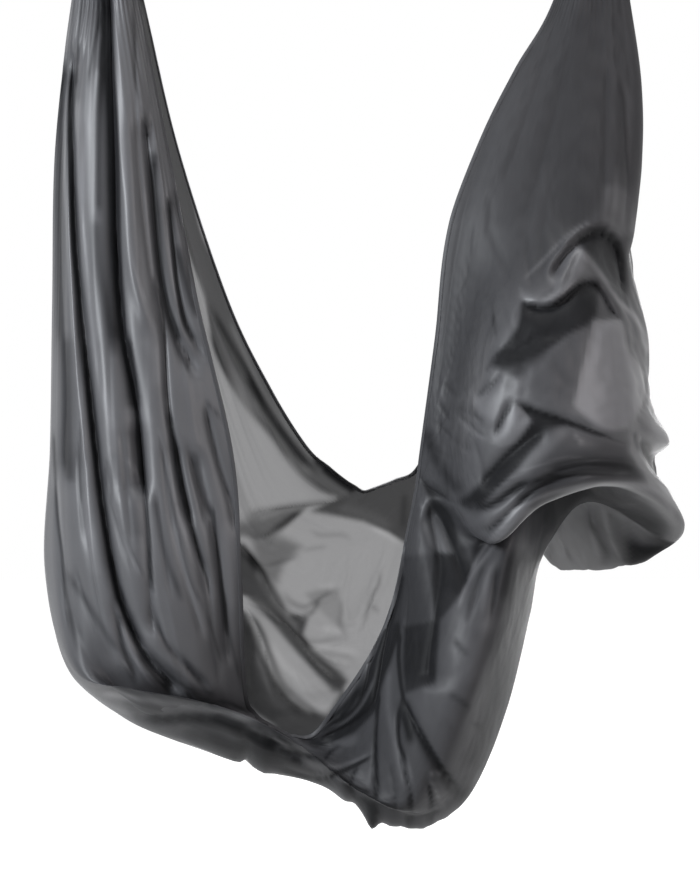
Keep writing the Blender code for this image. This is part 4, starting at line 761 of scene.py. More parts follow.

# Creases where less light passes the inner side, and slack lines where more does.
# The creases are doubled cloth and painted shade, and the slack lines painted light.
SHEER_LINES = traced([
    (0.7, 0.69, 0.69, -219, -1207, -212, -1224, -193, -1260, -170, -1305, -139, -1342, -112, -1378, -85,
     -1405),
    (0.41, 0.39, 0.39, -226, -1229, -197, -1283, -157, -1351, -123, -1396, -85, -1432, -39, -1458),
    (-0.37, 0.39, 0.39, -203, -1267, -179, -1311, -157, -1347, -128, -1372),
    (-0.4, 0.4, 0.4, -170, -1242, -144, -1296, -121, -1342, -92, -1378, -65, -1414),
    (0.73, 0.39, 0.39, -224, -1504, -176, -1492, -135, -1482, -81, -1475, -33, -1470),
    (0.73, 0.39, 0.39, -224, -1537, -203, -1542, -170, -1538, -146, -1523, -117, -1499, -96, -1481),
    (0.5, 0.42, 0.42, -175, -1529, -152, -1519, -129, -1501, -105, -1486),
    (0.85, 0.42, 0.42, -225, -1563, -188, -1604, -170, -1634, -152, -1663, -132, -1696, -105, -1705, -86,
     -1699),
    (0.33, 0.39, 0.39, -185, -1601, -158, -1595, -129, -1586, -99, -1575),
    (0.24, 0.39, 0.39, -111, -1571, -75, -1565, -45, -1561),
    (0.45, 0.42, 0.42, -142, -1648, -129, -1672, -99, -1684, -75, -1672, -51, -1657, -26, -1651),
    (0.57, 0.39, 0.39, -99, -1705, -81, -1693, -71, -1675, -68, -1665),
    (0.35, 0.42, 0.42, -26, -1657, -24, -1693, -26, -1717, -12, -1744, -3, -1756),
    (0.38, 0.39, 0.39, -105, -1750, -69, -1755, -33, -1748, -6, -1753),
    (0.57, 0.39, 0.39, -93, -1766, -63, -1790, -21, -1819, -4, -1832),
    (0.3, 0.39, 0.39, -75, -1771, -45, -1779, -9, -1786, 12, -1804),
    (0.29, 0.39, 0.39, 58, -1601, 52, -1640, 35, -1669, 28, -1705, 21, -1726),
    (0.35, 0.39, 0.39, 34, -1680, 56, -1696),
    (0.25, 0.48, 0.48, -93, -1520, -69, -1538, -21, -1538, 3, -1556),
    (-0.24, 0.39, 0.39, 27, -1517, 74, -1542, 103, -1560),
    (-0.25, 0.48, 0.48, -75, -1646, -45, -1643, -33, -1648),
    (-0.2, 0.72, 0.72, -69, -1729, -33, -1732, -15, -1741),
    (-0.25, 0.42, 0.42, -93, -1759, -51, -1768, 3, -1777, 21, -1786),
    (0.8, 0.48, 0.48, -209, -1693, -185, -1735, -167, -1783, -148, -1830, -117, -1867, -75, -1897, -56,
     -1902),
    (-1.2, 0.48, 0.48, -212, -1657, -179, -1684, -140, -1729, -105, -1765, -69, -1801, -33, -1836),
    (-1.5, 0.54, 0.54, -203, -1601, -182, -1637, -158, -1675, -129, -1708, -105, -1741),
    (0.6, 0.39, 0.39, -218, -1580, -203, -1601, -199, -1622),
    (-1.2, 0.72, 0.72, -197, -1765, -182, -1813, -152, -1866, -117, -1902),
    (-0.25, 0.6, 0.6, -173, -1747, -146, -1795, -111, -1830, -75, -1866),
    (0.75, 0.6, 0.6, -287, -1079, -242, -1159, -200, -1231, -158, -1302, -126, -1347, -90, -1392, -63,
     -1419),
    (-0.9, 0.42, 0.42, -257, -1189, -212, -1252, -164, -1323, -123, -1380, -75, -1423),
    (-0.7, 0.48, 0.48, -254, -1097, -218, -1174, -176, -1258, -135, -1317, -93, -1365, -69, -1395),
    (0.8, 0.42, 0.42, -294, -1118, -263, -1201, -218, -1273, -175, -1323, -135, -1371, -99, -1413),
    (0.85, 0.72, 0.72, -93, -1359, -57, -1395, -21, -1428, 18, -1447),
    (0.35, 0.84, 0.84, 107, -1443, 103, -1496, 101, -1538),
    (-0.4, 1.19, 1.19, -45, -1478, 3, -1490, 50, -1508, 86, -1532),
    (0.6, 0.64, 0.64, 486, -1463, 484, -1508, 498, -1545, 516, -1577, 501, -1607),
    (0.35, 0.43, 0.43, 405, -1476, 418, -1519, 416, -1545),
    (0.4, 0.43, 0.43, 554, -1482, 543, -1519, 556, -1561, 562, -1604),
    (0.29, 0.39, 0.39, 426, -1561, 442, -1583, 447, -1599),
    (0.29, 0.39, 0.39, 400, -1545, 405, -1567, 394, -1583),
    (-0.25, 0.53, 0.53, 501, -1482, 522, -1530, 538, -1572),
])

# Layer, stations, fold lines, and how much deeper and wider they are made.
FOLD_GROUPS = [
    ("leg", -1, 7.6, LEG_FOLDS, 1.3, 1.7),
    ("inner", 1.5, 16.5, BOWL_FOLDS, 1.5, 1.2),
    ("front", 9.8, 17.6, MASS_FOLDS, 1.0, 1.2),
    ("front", 13.5, 20.5, COWL_FOLDS, 1.1, 1.2),
    ("front", 18.0, 25, BULGE_FOLDS, 0.85, 1.15),
    ("front", 18.5, 28, PANEL_FOLDS, 1.0, 1.2),
    ("band", 5.4, 13.0, BAND_FOLDS, 1.5, 1.1),
    ("inner", 16.6, 19.5, TAIL_FOLDS, 1.5, 1.2),
]

SIDES = (("left", -0.5), ("right", 0.5))

# The channels: outer and inner half sizes, ruffles and finer puckers with their depths in metres, and the
# grid's steps along a channel and round it. RUFFLES_BELOW is how much of them the underside keeps.
CHANNEL_Z = -0.195
CHANNEL_LENGTH = 0.084
CHANNEL_HALF_WIDTH = 0.024
CHANNEL_HALF_HEIGHT = 0.019
CHANNEL_STEPS = 168
CHANNEL_SIDES = 72
CHANNEL_RUFFLES = 9
CHANNEL_PUCKERS = 31
RUFFLE_DEPTH = 0.0013
PUCKER_DEPTH = 0.00055
RUFFLES_BELOW = 0.35
MOUTH_TAPER = 0.12
HOLE_HALF_WIDTH = 0.0128
HOLE_HALF_HEIGHT = 0.0037
HOLE_POWER = 0.6
# The hole's painted shade: the inside of the channel is painted dark.
HOLE_SHADE = 0.1
# Which of a channel's sides carry a seam, how many steps before the mouths it ends, and its thread's lift.
CHANNEL_STITCH_PLACES = (3, 33, 66, 42)
SEAM_ENDS = 4
THREAD_LIFT = 0.0003

# The slings: webbing, the straight run under the channel, the turn beside it and the wrap over the bar. The
# bend is the angle of the turn, and the contact the one by which the wrap reaches below the bar's middle.
ROD_RADIUS = 0.005
BOTTOM_BAR_Z = -0.102
WEB_WIDTH = 0.020
WEB_THICK = 0.0022
SLING_RUN = CHANNEL_LENGTH / 2 + 0.0008
SLING_WRAP = ROD_RADIUS + 0.0016 + WEB_THICK / 2
SLING_TURN = 0.0075
SLING_BEND = 118
SLING_CONTACT = 12
ARC_STEPS = 12
# The bar tacks' box and cross: half widths in metres, and places along the doubled stretch as shares of it.
TACK_LENGTH = 0.034
TACK_HALF = 0.0082
TACK_BARS = (-0.40, -0.34, 0.34, 0.40)
BOX_UP = 0.42
CROSS_HALF = 0.0075
CROSS_UP = 0.3

# The hems: their width is a share of the full one at the necks, and widens over a number of rows.
HEM_WIDTH = 0.009
HEM_THICK = 0.0018
HEM_OVERLAP = 0.001
HEM_AT_NECKS = 0.3
HEM_WIDENS = (4, 26)
HEM_SEAM = 0.28

# Stitches: spacing, length and thread radius.
HEM_STITCHES = (0.0042, 0.0030, 0.00028)
CHANNEL_STITCHES = (0.0034, 0.0026, 0.0003)
TACK_STITCHES = (0.0016, 0.0014, 0.0003)
STITCH_SIDES = 5

# The end of a metal node's name, the body it rides on (after the side's name where it starts with _),
# its slot, and how far its edges are eased.
METAL_PIECES = [
    ("_carabiner_frame", "rigging", "steel", 0.0003), ("_hinge_rivet", "rigging", "steel", 0.0002),
    ("_gate", "_gate_bar", "steel", 0.0003), ("_nose_pin", "_gate_bar", "steel", 0.0002),
    ("_gate_plunger", "_push_rod", "steel", 0.0002), ("_lock_sleeve", "_lock", "sleeve_steel", 0.0002),
]
# How near points are merged in metres, and the angles in degrees under which faces are joined, from which
# edges are eased and from which they stay sharp.
MERGE_REACH = 1e-6
JOINED_TO = 1
EASED_FROM = 40
SHARP_FROM = 32


def hermite(knots, values, at):
    """A smooth curve through values at rising knots, read at the given places."""
    knots = np.asarray(knots, float)
    values = np.asarray(values, float)
    at = np.asarray(at, float)
    slopes = np.empty_like(values)
    slopes[1:-1] = (values[2:] - values[:-2]) / (knots[2:] - knots[:-2])[:, None]
    slopes[0] = (values[1] - values[0]) / (knots[1] - knots[0])
    slopes[-1] = (values[-1] - values[-2]) / (knots[-1] - knots[-2])
    cell = np.clip(np.searchsorted(knots, at, side="right") - 1, 0, len(knots) - 2)
    step = (knots[cell + 1] - knots[cell])[:, None]
    u = (at - knots[cell])[:, None] / step
    start = values[cell] * (2 * u**3 - 3 * u**2 + 1) + slopes[cell] * step * (u**3 - 2 * u**2 + u)
    return start + values[cell + 1] * (3 * u**2 - 2 * u**3) + slopes[cell + 1] * step * (u**3 - u**2)


def share_at(table, at):
    """Reads a table of places and values between its rows."""
    return hermite([k for k, _ in table], [[v] for _, v in table], at)[:, 0]


def smooth_step(value, low, high):
    """0 up to the lower limit, 1 from the higher one, and a soft rise between them."""
    u = np.clip((value - low) / (high - low), 0, 1)
    return u * u * (3 - 2 * u)


def within(amount, value, first, last, outside=0.0, inside=0.0):
    """An amount between two limits and 0 beyond them, with fades that reach outside and inside the limits."""
    rise = amount * smooth_step(value, first - outside, first + inside)
    return rise * (1 - smooth_step(value, last - inside, last + outside))


def running(steps):
    """The running total of some steps, from 0."""
    return np.concatenate([[0], np.cumsum(steps)])


def grid_of(stations, shares):
    """Each grid point's station and share."""
    s = np.broadcast_to(stations[:, None], (len(stations), len(shares)))
    return s, np.broadcast_to(shares[None, :], s.shape)


def as_seen(stations, shares):
    """The sheet's smooth middle, in centimetres as seen from the front."""
    lines = [hermite([g[0] for g in guide], [g[1:] for g in guide], stations) for _, guide in GUIDES]
    lines = np.stack(lines)
    knots = [share for share, _ in GUIDES]
    return np.stack([hermite(knots, lines[:, i], shares) for i in range(len(stations))])


def as_hung(places):
    """Moves places from how they look in front to where they are, and from centimetres to metres."""
    places = places.copy()
    middle = np.sign(places[..., 0]) * NECK_ACROSS
    squash = 1 - NECK_SQUASH * (1 - np.clip((NECK_Z - places[..., 2]) / NECK_SQUASH_FADE, 0, 1)) ** 2
    places[..., 0] = middle + (places[..., 0] - middle) * squash
    places *= CM
    below_neck = np.clip((NECK_Z * CM - places[..., 2]) / NECK_FADE, 0, 1)
    spread = 1 + below_neck * places[..., 1] / VIEW_DISTANCE
    hung = places.copy()
    hung[..., 0] = places[..., 0] * spread
    hung[..., 2] = VIEW_HEIGHT + (places[..., 2] - VIEW_HEIGHT) * spread
    hung[..., 1] += BALANCE_SHIFT * np.clip(-hung[..., 2] - BALANCE_FROM, 0, None)
    return hung


def outward(points):
    """Unit normals of a grid of points, away from the sheet's inner side, and its unit direction across."""
    along = np.gradient(points, axis=0)
    across = np.gradient(points, axis=1)
    out = np.cross(along, across)
    out /= np.linalg.norm(out, axis=2, keepdims=True) + TINY
    return out, across / (np.linalg.norm(across, axis=2, keepdims=True) + TINY)


def smooth_line(points, steps=5):
    """A smooth line through points, with a number of steps from each to the next."""
    knots = np.arange(len(points), dtype=float)
    return hermite(knots, points, np.linspace(0, len(points) - 1, (len(points) - 1) * steps + 1))


def beside_line(x, z, line):
    """Distance to a line (above zero on its left) and along it, its length, and its direction to the left."""
    start = line[:-1]
    run = line[1:] - start
    length = np.hypot(run[:, 0], run[:, 1]) + SHORTEST
    before = running(length)
    dx = x[:, None] - start[None, :, 0]
    dz = z[:, None] - start[None, :, 1]
    u = np.clip((dx * run[:, 0] + dz * run[:, 1]) / length**2, 0, 1)
    gap = np.hypot(dx - u * run[:, 0], dz - u * run[:, 1])
    nearest = gap.argmin(axis=1)
    row = np.arange(len(x))
    side = np.sign(run[nearest, 0] * dz[row, nearest] - run[nearest, 1] * dx[row, nearest])
    left = np.stack([-run[nearest, 1], run[nearest, 0]], axis=1) / length[nearest, None]
    along = before[nearest] + u[row, nearest] * length[nearest]
    return side * gap[row, nearest], along, before[-1], left


def fold_moves(seen, mask, rows, stronger, wider):
    """How far each point moves to the viewer, and sideways over a fold's steeper edge, in centimetres."""
    height = np.zeros(mask.shape)
    shift = np.zeros(mask.shape + (2,))
    x = seen[..., 0]
    z = seen[..., 2]
    for depth, left, right, points in rows:
        line = smooth_line(np.array(points, float))
        valley = depth < 0
        if valley:
            depth, left, right = depth * stronger, left * wider, right * wider
        steeper, flatter = sorted((left, right))
        low = line.min(axis=0) - FOLD_REACH * flatter
        high = line.max(axis=0) + FOLD_REACH * flatter
        near = (mask > MASK_FROM) & (x > low[0]) & (x < high[0]) & (z > low[1]) & (z < high[1])
        if not near.any():
            continue
        gap, along, total, leftward = beside_line(x[near], z[near], line)
        width = np.where(gap > 0, left, right)
        ends = min(FOLD_SOFT_END, total * FOLD_SOFT_SHARE)
        fade = smooth_step(along, 0, ends) * smooth_step(total - along, 0, ends) * mask[near]
        power = VALLEY_POWER if valley else RIDGE_POWER
        height[near] += depth * fade * np.exp(-(np.abs(gap) / width) ** power)
        if valley and flatter > STEEP_FROM * steeper:
            over = np.sign(gap) == (1 if left < right else -1)
            bulge = np.exp(-((np.abs(gap) - 0.8 * steeper) / (1.3 * steeper)) ** 2)
            push = -depth * OVERHANG * fade * over * bulge
            shift[near] -= (push * np.sign(gap))[:, None] * leftward
    return height, shift


def inside_outline(x, z, outline, soft):
    """1 inside an outline and 0 outside it, with a soft edge."""
    corners = np.array(outline, float)
    gap, _, _, _ = beside_line(x, z, np.concatenate([corners, corners[:1]]))
    ahead = np.roll(corners, -1, axis=0)
    crossing = (corners[None, :, 1] > z[:, None]) != (ahead[None, :, 1] > z[:, None])
    rise = ahead[:, 1] - corners[:, 1] + TINY
    meets = corners[None, :, 0] + (z[:, None] - corners[None, :, 1]) / rise * (ahead - corners)[None, :, 0]
    inside = (crossing & (x[:, None] < meets)).sum(axis=1) % 2 == 1
    depth = np.where(inside, np.abs(gap), -np.abs(gap))
    return smooth_step(depth, -soft, soft)


def long_folds(stations, shares):
    """Folds that run the sheet's whole length: (height, lean) in centimetres over the grid."""
    phase = math.pi * LONG_PLEATS * (shares + 0.01 * np.sin(9 * shares) + 0.006 * np.sin(31 * shares))
    along = share_at(FOLDS_ALONG, stations)
    across = share_at(FOLDS_ACROSS, shares)
    depth = np.outer(along, across)
    wander = 0.35 * np.sin(0.45 * stations)[:, None] + 0.2 * np.sin(1.1 * stations + 1)[:, None]
    main = np.abs(np.sin(phase[None, :] + wander)) - PLEAT_MIDDLE
    lean = np.sin(2 * (phase[None, :] + wander))
    fine_places = shares + 0.004 * np.sin(47 * shares) + 0.008 * np.sin(19 * shares + 2)
    fine_phase = math.pi * FINE_PLEATS * fine_places
    fine = np.abs(np.sin(fine_phase[None, :] - 0.6 * wander)) - PLEAT_MIDDLE
    at_necks = share_at(NECK_PLEATS, stations)[:, None]
    quiet = 0.02 + 0.9 * across[None, :]
    fine_depth = FINE_DEPTH_AT_NECKS * at_necks + FINE_DEPTH * along[:, None] * quiet
    return LONG_DEPTH * depth * main + fine_depth * fine, LONG_LEAN * depth * lean


def small_creases(stations, shares, rows):
    """Seeded short creases in patches of the sheet: heights in centimetres over the grid."""
    random = np.random.default_rng(SEED)
    height = np.zeros((len(stations), len(shares)))
    for count, (first, last), (low, high), length, width, depth, slope in rows:
        for _ in range(count):
            s0 = random.uniform(first, last)
            t0 = random.uniform(low, high)
            half = length * random.uniform(*CREASE_LENGTHS)
            wide = width * random.uniform(*CREASE_WIDTHS)
            deep = depth * random.uniform(*CREASE_DEPTHS) * random.choice([-1, -1, 1])
            turn = slope * random.uniform(-1, 1)
            bend = slope * random.uniform(-CREASE_BEND, CREASE_BEND) / half
            reach = CREASE_REACH * half
            i0, i1 = np.searchsorted(stations, [s0 - reach, s0 + reach])
            drift = reach * abs(turn) + CREASE_SIDE_REACH * wide
            j0, j1 = np.searchsorted(shares, [t0 - drift, t0 + drift])
            if i1 - i0 < 2 or j1 - j0 < 2:
                continue
            ds = (stations[i0:i1, None] - s0) / half
            dt = (shares[None, j0:j1] - t0 - turn * ds * half - bend * (ds * half) ** 2) / wide
            height[i0:i1, j0:j1] += deep * np.exp(-ds**4 - np.abs(dt) ** 1.4)
    return height


def spread_out(count, dense, weight):
    """Places for a number of grid lines, closer together where the weight between dense places is high."""
    total = running(weight)
    return np.interp(np.linspace(0, total[-1], count), total, dense)


def spread_rows(count):
    """Stations for the grid's rows, closer together where the creases are short."""
    dense = np.linspace(0, STATIONS, DENSE_STEPS)
    seen = as_seen(dense, np.array(ROW_SHARES))
    steps = np.linalg.norm(np.diff(seen, axis=0), axis=2).mean(axis=1)
    return spread_out(count, dense, steps * share_at(ROW_DENSITY, 0.5 * (dense[1:] + dense[:-1])))


def spread_columns(count):
    """Shares for the grid's columns."""
    dense = np.linspace(0, 1, DENSE_STEPS)
    return spread_out(count, dense, share_at(COLUMN_DENSITY, 0.5 * (dense[1:] + dense[:-1])))


def gathered_edge(seen, shares):
    """Drops and puckers the sheet's lowest line, in centimetres, where its folds end in points."""
    near = np.exp(-((shares - 0.5) / EDGE_REACH) ** 2)[None, :]
    drop = np.zeros(seen.shape[:2])
    for place, width, amount in EDGE_POINTS:
        drop += amount * np.exp(-((seen[..., 0] - place) / width) ** 2)
    return drop * near * smooth_step(-seen[..., 2], *EDGE_DEPTHS)


def sheet_points(rows, columns):
    """The sheet with its placed folds: stations, shares and points in metres."""
    stations = spread_rows(rows)
    shares = spread_columns(columns)
    seen = as_seen(stations, shares)
    base = as_hung(seen)
    out, side = outward(base)
    s, t = grid_of(stations, shares)
    front = smooth_step(t, *FRONT_FROM)
    band = smooth_step(t, *BAND_FROM) * (1 - smooth_step(t, *BAND_EDGE))
    layers = {"front": front, "inner": 1 - smooth_step(t, *INNER_TO), "band": band,
              "leg": front * (1 - band * smooth_step(s, *BAND_STARTS))}
    height, lean = long_folds(stations, shares)
    towards = np.zeros(seen.shape[:2])
    shift = np.zeros(seen.shape[:2] + (2,))
    for layer, first, last, table, stronger, wider in FOLD_GROUPS:
        mask = within(layers[layer], s, first, last, inside=FOLD_FADE)
        made, pushed = fold_moves(seen, mask, table, stronger, wider)
        towards += made
        shift += pushed
    height = height + small_creases(stations, shares, CREASES)
    points = base + (height * CM)[..., None] * out + (lean * CM)[..., None] * side
    points[..., 0] += shift[..., 0] * CM
    points[..., 1] -= towards * CM
    points[..., 2] += (shift[..., 1] + gathered_edge(seen, shares)) * CM
    return stations, shares, points


def hold_weights(stations, shares):
    """How firmly each point keeps its place while the cloth settles: firm on hems, loose between them."""
    s, t = grid_of(stations, shares)
    firm = np.zeros(s.shape)
    for share, width, (first, last), amount in HELD_LINES:
        line = np.exp(-((t - share) / width) ** 2) * amount
        firm = np.maximum(firm, within(line, s, first, last, outside=LINE_FADE))
    for (first, last), (low, high), amount in HELD_PATCHES:
        patch = within(1.0, s, first, last, outside=PATCH_FADE)
        patch = within(patch, t, low, high, outside=PATCH_SIDE_FADE)
        firm = np.maximum(firm, patch * amount)
    weights = HOLD_LOOSE + (HOLD_FIRM - HOLD_LOOSE) * firm
    necks = np.maximum(1 - smooth_step(s, 0.0, NECK_HOLD), smooth_step(s, STATIONS - NECK_HOLD, STATIONS))
    return np.maximum(weights, necks)


def settled(stations, shares, points):
    """How far each point moves when the folded sheet, cut wider than it hangs, settles as cloth."""
    rows = len(points)
    sheet = grid_mesh("settling_sheet", points)
    sheet.shape_key_add(name="Basis")
    cut = sheet.shape_key_add(name="cut")
    across = np.linalg.norm(np.diff(points, axis=1), axis=2)
    across = np.concatenate([np.zeros((rows, 1)), np.cumsum(across, axis=1)], axis=1)
    across *= share_at(CUT_WIDER, stations)[:, None]
    across -= across[:, -1:] / 2
    run = running(np.linalg.norm(np.diff(points, axis=0), axis=2).mean(axis=1))
    flat = np.stack([across, np.zeros_like(across), np.broadcast_to(run[:, None], across.shape)], axis=-1)
    cut.data.foreach_set("co", flat.astype(np.float32).ravel())
    group = sheet.vertex_groups.new(name="held")
    weights = np.round(hold_weights(stations, shares).ravel(), 2)
    for weight in np.unique(weights):
        group.add(np.nonzero(weights == weight)[0].tolist(), float(weight), "REPLACE")
    cloth = sheet.modifiers.new("cloth", "CLOTH")
    settings = cloth.settings
    settings.quality = CLOTH_QUALITY
    settings.mass = CLOTH_MASS
    settings.tension_stiffness = CLOTH_STRETCH
    settings.compression_stiffness = CLOTH_STRETCH
    settings.shear_stiffness = CLOTH_SHEAR * CLOTH_STRETCH
    settings.bending_stiffness = CLOTH_BEND
    settings.tension_damping = CLOTH_DAMPING
    settings.compression_damping = CLOTH_DAMPING
    settings.vertex_group_mass = "held"
    settings.pin_stiffness = 1.0
    settings.rest_shape_key = cut
    cloth.collision_settings.use_collision = False
    cloth.point_cache.frame_end = SETTLE_FRAMES + 1
    for frame_number in range(1, SETTLE_FRAMES + 1):
        bpy.context.scene.frame_set(frame_number)
    mesh = evaluated(sheet).data
    places = np.empty(len(mesh.vertices) * 3, np.float32)
    mesh.vertices.foreach_get("co", places)
    moved = places.reshape(points.shape).astype(float) - points
    bpy.data.objects.remove(sheet)
    bpy.context.scene.frame_set(1)
    return moved - KEEP_SHAPE * blurred(moved, SHAPE_REACH)


def spread_moves(stations, shares, moved, fine_stations, fine_shares):
    """Reads the moves of a coarse grid on a finer one."""
    tall = hermite(stations, moved.reshape(len(stations), -1), fine_stations)
    tall = tall.reshape(len(fine_stations), len(shares), 3).transpose(1, 0, 2)
    wide = hermite(shares, tall.reshape(len(shares), -1), fine_shares)
    return wide.reshape(len(fine_shares), len(fine_stations), 3).transpose(1, 0, 2)


def blurred(values, reach):
    """A grid of points, softened over a number of neighbours each way."""
    for axis in (0, 1):
        for _ in range(2):
            pad = [(0, 0)] * values.ndim
            pad[axis] = (reach + 1, reach)
            total = np.cumsum(np.pad(values, pad, mode="edge"), axis=axis)
            size = values.shape[axis]
            ends = total.take(range(2 * reach + 1, 2 * reach + 1 + size), axis=axis)
            starts = total.take(range(size), axis=axis)
            values = (ends - starts) / (2 * reach + 1)
    return values


def eased(values):
    """A grid of values, each mixed a little with the next ones so that no drawn line looks stepped."""
    for axis in (0, 1):
        padded = np.pad(values, [(1, 1) if axis == k else (0, 0) for k in (0, 1)], mode="edge")
        size = values.shape[axis]
        beside = padded.take(range(size), axis) + padded.take(range(2, size + 2), axis)
        values = 0.5 * values + 0.25 * beside
    return values


def relief(points, shares):
    """How far each point stands out of its surroundings on the side that shows: 0 in valleys, 1 on ridges."""
    out, _ = outward(blurred(points, 2))
    shows = np.where(shares < INNER_BELOW, -1.0, 1.0)[None, :]
    total = np.zeros(points.shape[:2])
    for reach, strength in RELIEF_SCALES:
        gap = ((points - blurred(points, reach)) * out).sum(axis=2)
        total += strength * gap * shows
    return 0.5 + 0.5 * np.tanh(total)


def in_front_view(points):
    """Where points stand in the view from the front, in centimetres."""
    nearer = VIEW_DISTANCE / (VIEW_DISTANCE + points[..., 1])
    x = VIEW_ACROSS + (points[..., 0] - VIEW_ACROSS) * nearer
    z = VIEW_HEIGHT + (points[..., 2] - VIEW_HEIGHT) * nearer
    return np.stack([x.ravel(), z.ravel()], axis=1) / CM


def drawn_lines(places, rows):
    """The amounts of soft lines at places seen from the front."""
    total = np.zeros(len(places))
    for amount, left, right, points in rows:
        line = smooth_line(np.array(points, float))
        reach = LINE_REACH * max(left, right)
        near = ((places > line.min(axis=0) - reach) & (places < line.max(axis=0) + reach)).all(axis=1)
        near = np.nonzero(near)[0]
        if len(near):
            gap, along, run, _ = beside_line(places[near, 0], places[near, 1], line)
            soft = min(LINE_SOFT_END, LINE_SOFT_SHARE * run)
            ends = smooth_step(along, 0, soft) * smooth_step(run - along, 0, soft)
            total[near] += amount * ends * np.exp(-(gap / np.where(gap > 0, left, right)) ** 2)
    return total


def sheerness(stations, shares, points):
    """How much light passes: most in the bowl's single layer, little where the cloth is gathered, with
    painted shade and light.
    """
    s, t = grid_of(stations, shares)
    sheer = np.full(s.shape, SHEER_GATHERED)
    for (s0, s1), (t0, t1), soft_s, soft_t, amount in SHEER_PATCHES:
        patch = within(1.0, s, s0, s1, soft_s, soft_s)
        patch = within(patch, t, t0, t1, soft_t, soft_t)
        sheer = sheer + (amount - sheer) * patch
    inner = (LAYER_AND_SHADE_ZONES, SHEER_LINES, shares < INNER_BELOW)
    outer = (FRONT_ZONES, [], shares > OUTER_ABOVE)
    for zones, lines, side in (inner, outer):
        places = in_front_view(points[:, side])
        chosen = sheer[:, side].ravel()
        for amount, soft, outline in zones:
            chosen = chosen + (amount - chosen) * inside_outline(places[:, 0], places[:, 1], outline, soft)
        chosen = chosen * np.clip(1 - drawn_lines(places, lines), *SHEER_LINE_LIMITS)
        sheer[:, side] = chosen.reshape(len(stations), -1)
    return eased(sheer)


def painted_shading(stations, shares, points):
    """Painted shade and light from the relief's valleys and ridges, with the outer side's painted hollows and
    crests.
    """
    # Painted shade in the relief's valleys and painted light on its ridges.
    shading = relief(points, shares)
    side = shares > TONED_ABOVE
    places = in_front_view(points[:, side])
    s = stations[:, None]
    band = smooth_step(s, *BAND_STARTS) * (1 - smooth_step(shares[None, side], *BAND_EDGE))
    band = band * (1 - smooth_step(s, *BAND_ENDS))
    leg = (1 - smooth_step(s, *LEG_ENDS)) * (1 - band)
    kept = np.where(leg + band > 0.5, LEG_RELIEF, share_at(RELIEF_KEPT, stations)[:, None])
    outer = shading[:, side] * kept + leg * LEG_SHADING
    outer += band * share_at(BAND_SHADING, stations)[:, None] + share_at(OUTER_SHADING, stations)[:, None]
    # The outer side's painted hollows and crests, drawn as lines and zones.
    added = drawn_lines(places, SHADE_AND_LIGHT_LINES)
    for amount, soft, outline in SHADE_AND_LIGHT_ZONES:
        added += amount * inside_outline(places[:, 0], places[:, 1], outline, soft)
    outer += added.reshape(outer.shape) + leg * drawn_lines(places, LEG_SHADE_AND_LIGHT_LINES).reshape(outer.shape)
    shading[:, side] = outer
    return np.clip(shading, 0, HIGHEST_SHADING)


def placed(name, data):
    """A new object in the scene, at the origin."""
    obj = bpy.data.objects.new(name, data)
    bpy.context.scene.collection.objects.link(obj)
    return obj


def evaluated(obj):
    """The object as its modifiers make it."""
    return obj.evaluated_get(bpy.context.evaluated_depsgraph_get())


def point_values(obj, name, values):
    """Stores a number for each point of an object."""
    layer = obj.data.attributes.new(name, "FLOAT", "POINT")
    layer.data.foreach_set("value", np.asarray(values, np.float32).ravel())


def grid_mesh(name, points, uv=None):
    """A smooth mesh over a grid of points, with a UV map where one is given."""
    rows, columns = points.shape[:2]
    index = np.arange(rows * columns).reshape(rows, columns)
    faces = np.stack([index[:-1, :-1], index[:-1, 1:], index[1:, 1:], index[1:, :-1]], -1).reshape(-1, 4)
    mesh = bpy.data.meshes.new(name)
    mesh.from_pydata(points.reshape(-1, 3).tolist(), [], faces.tolist())
    if uv is not None:
        layer = mesh.uv_layers.new(name="cloth")
        layer.data.foreach_set("uv", uv.reshape(-1, 2)[faces.ravel()].astype(np.float32).ravel())
    mesh.shade_smooth()
    return placed(name, mesh)


class Socket:
    """A node's output, on which sums can be written as plain expressions."""

    def __init__(self, nodes, socket):
        self.nodes = nodes
        self.socket = socket

    def math(self, operation, other):
        return self.nodes.add("ShaderNodeMath", {"operation": operation}, {0: self, 1: other})

    def __add__(self, other):
        return self.math("ADD", other)

    def __mul__(self, other):
        return self.math("MULTIPLY", other)


class Nodes:
    """Builds the nodes of one material, or of the world."""

    def __init__(self, owner):
        owner.use_nodes = True
        self.tree = owner.node_tree
        self.tree.nodes.clear()

    def add(self, kind, settings=None, values=None, output=0):
        """A node with its settings and inputs; returns one of its outputs."""
        node = self.tree.nodes.new(kind)
        for key, value in (settings or {}).items():
            setattr(node, key, value)
        for key, value in (values or {}).items():
            if isinstance(value, Socket):
                self.tree.links.new(value.socket, node.inputs[key])
            else:
                node.inputs[key].default_value = value
        return Socket(self, node.outputs[output])

    def noise(self, place, scale, detail, settings=None, **more):
        return self.add("ShaderNodeTexNoise", settings,
                        {"Vector": place, "Scale": scale, "Detail": detail, **more})

    def stretched(self, place, scale):
        return self.add("ShaderNodeMapping", {}, {0: place, 3: scale})

    def bump(self, strength, distance, height, **more):
        return self.add("ShaderNodeBump", {},
                        {"Strength": strength, "Distance": distance, "Height": height, **more})

    def blend(self, factor, dark, light, clamp=True):
        return self.add("ShaderNodeMix", {"data_type": "RGBA", "clamp_factor": clamp},
                        {0: factor, 6: (*dark, 1.0), 7: (*light, 1.0)}, output=2)

    def seen_directly(self):
        """1 where the camera, a mirror or glass looks, and 0 for other light."""
        path = self.tree.nodes.new("ShaderNodeLightPath")
        camera, mirror, glass = (Socket(self, path.outputs[name]) for name in
                                 ("Is Camera Ray", "Is Glossy Ray", "Is Transmission Ray"))
        return camera.math("MAXIMUM", mirror).math("MAXIMUM", glass)

    def finish(self, shader, kind="ShaderNodeOutputMaterial"):
        """Links the shader to the tree's output."""
        node = self.tree.nodes.new(kind)
        self.tree.links.new(shader.socket, node.inputs[0])


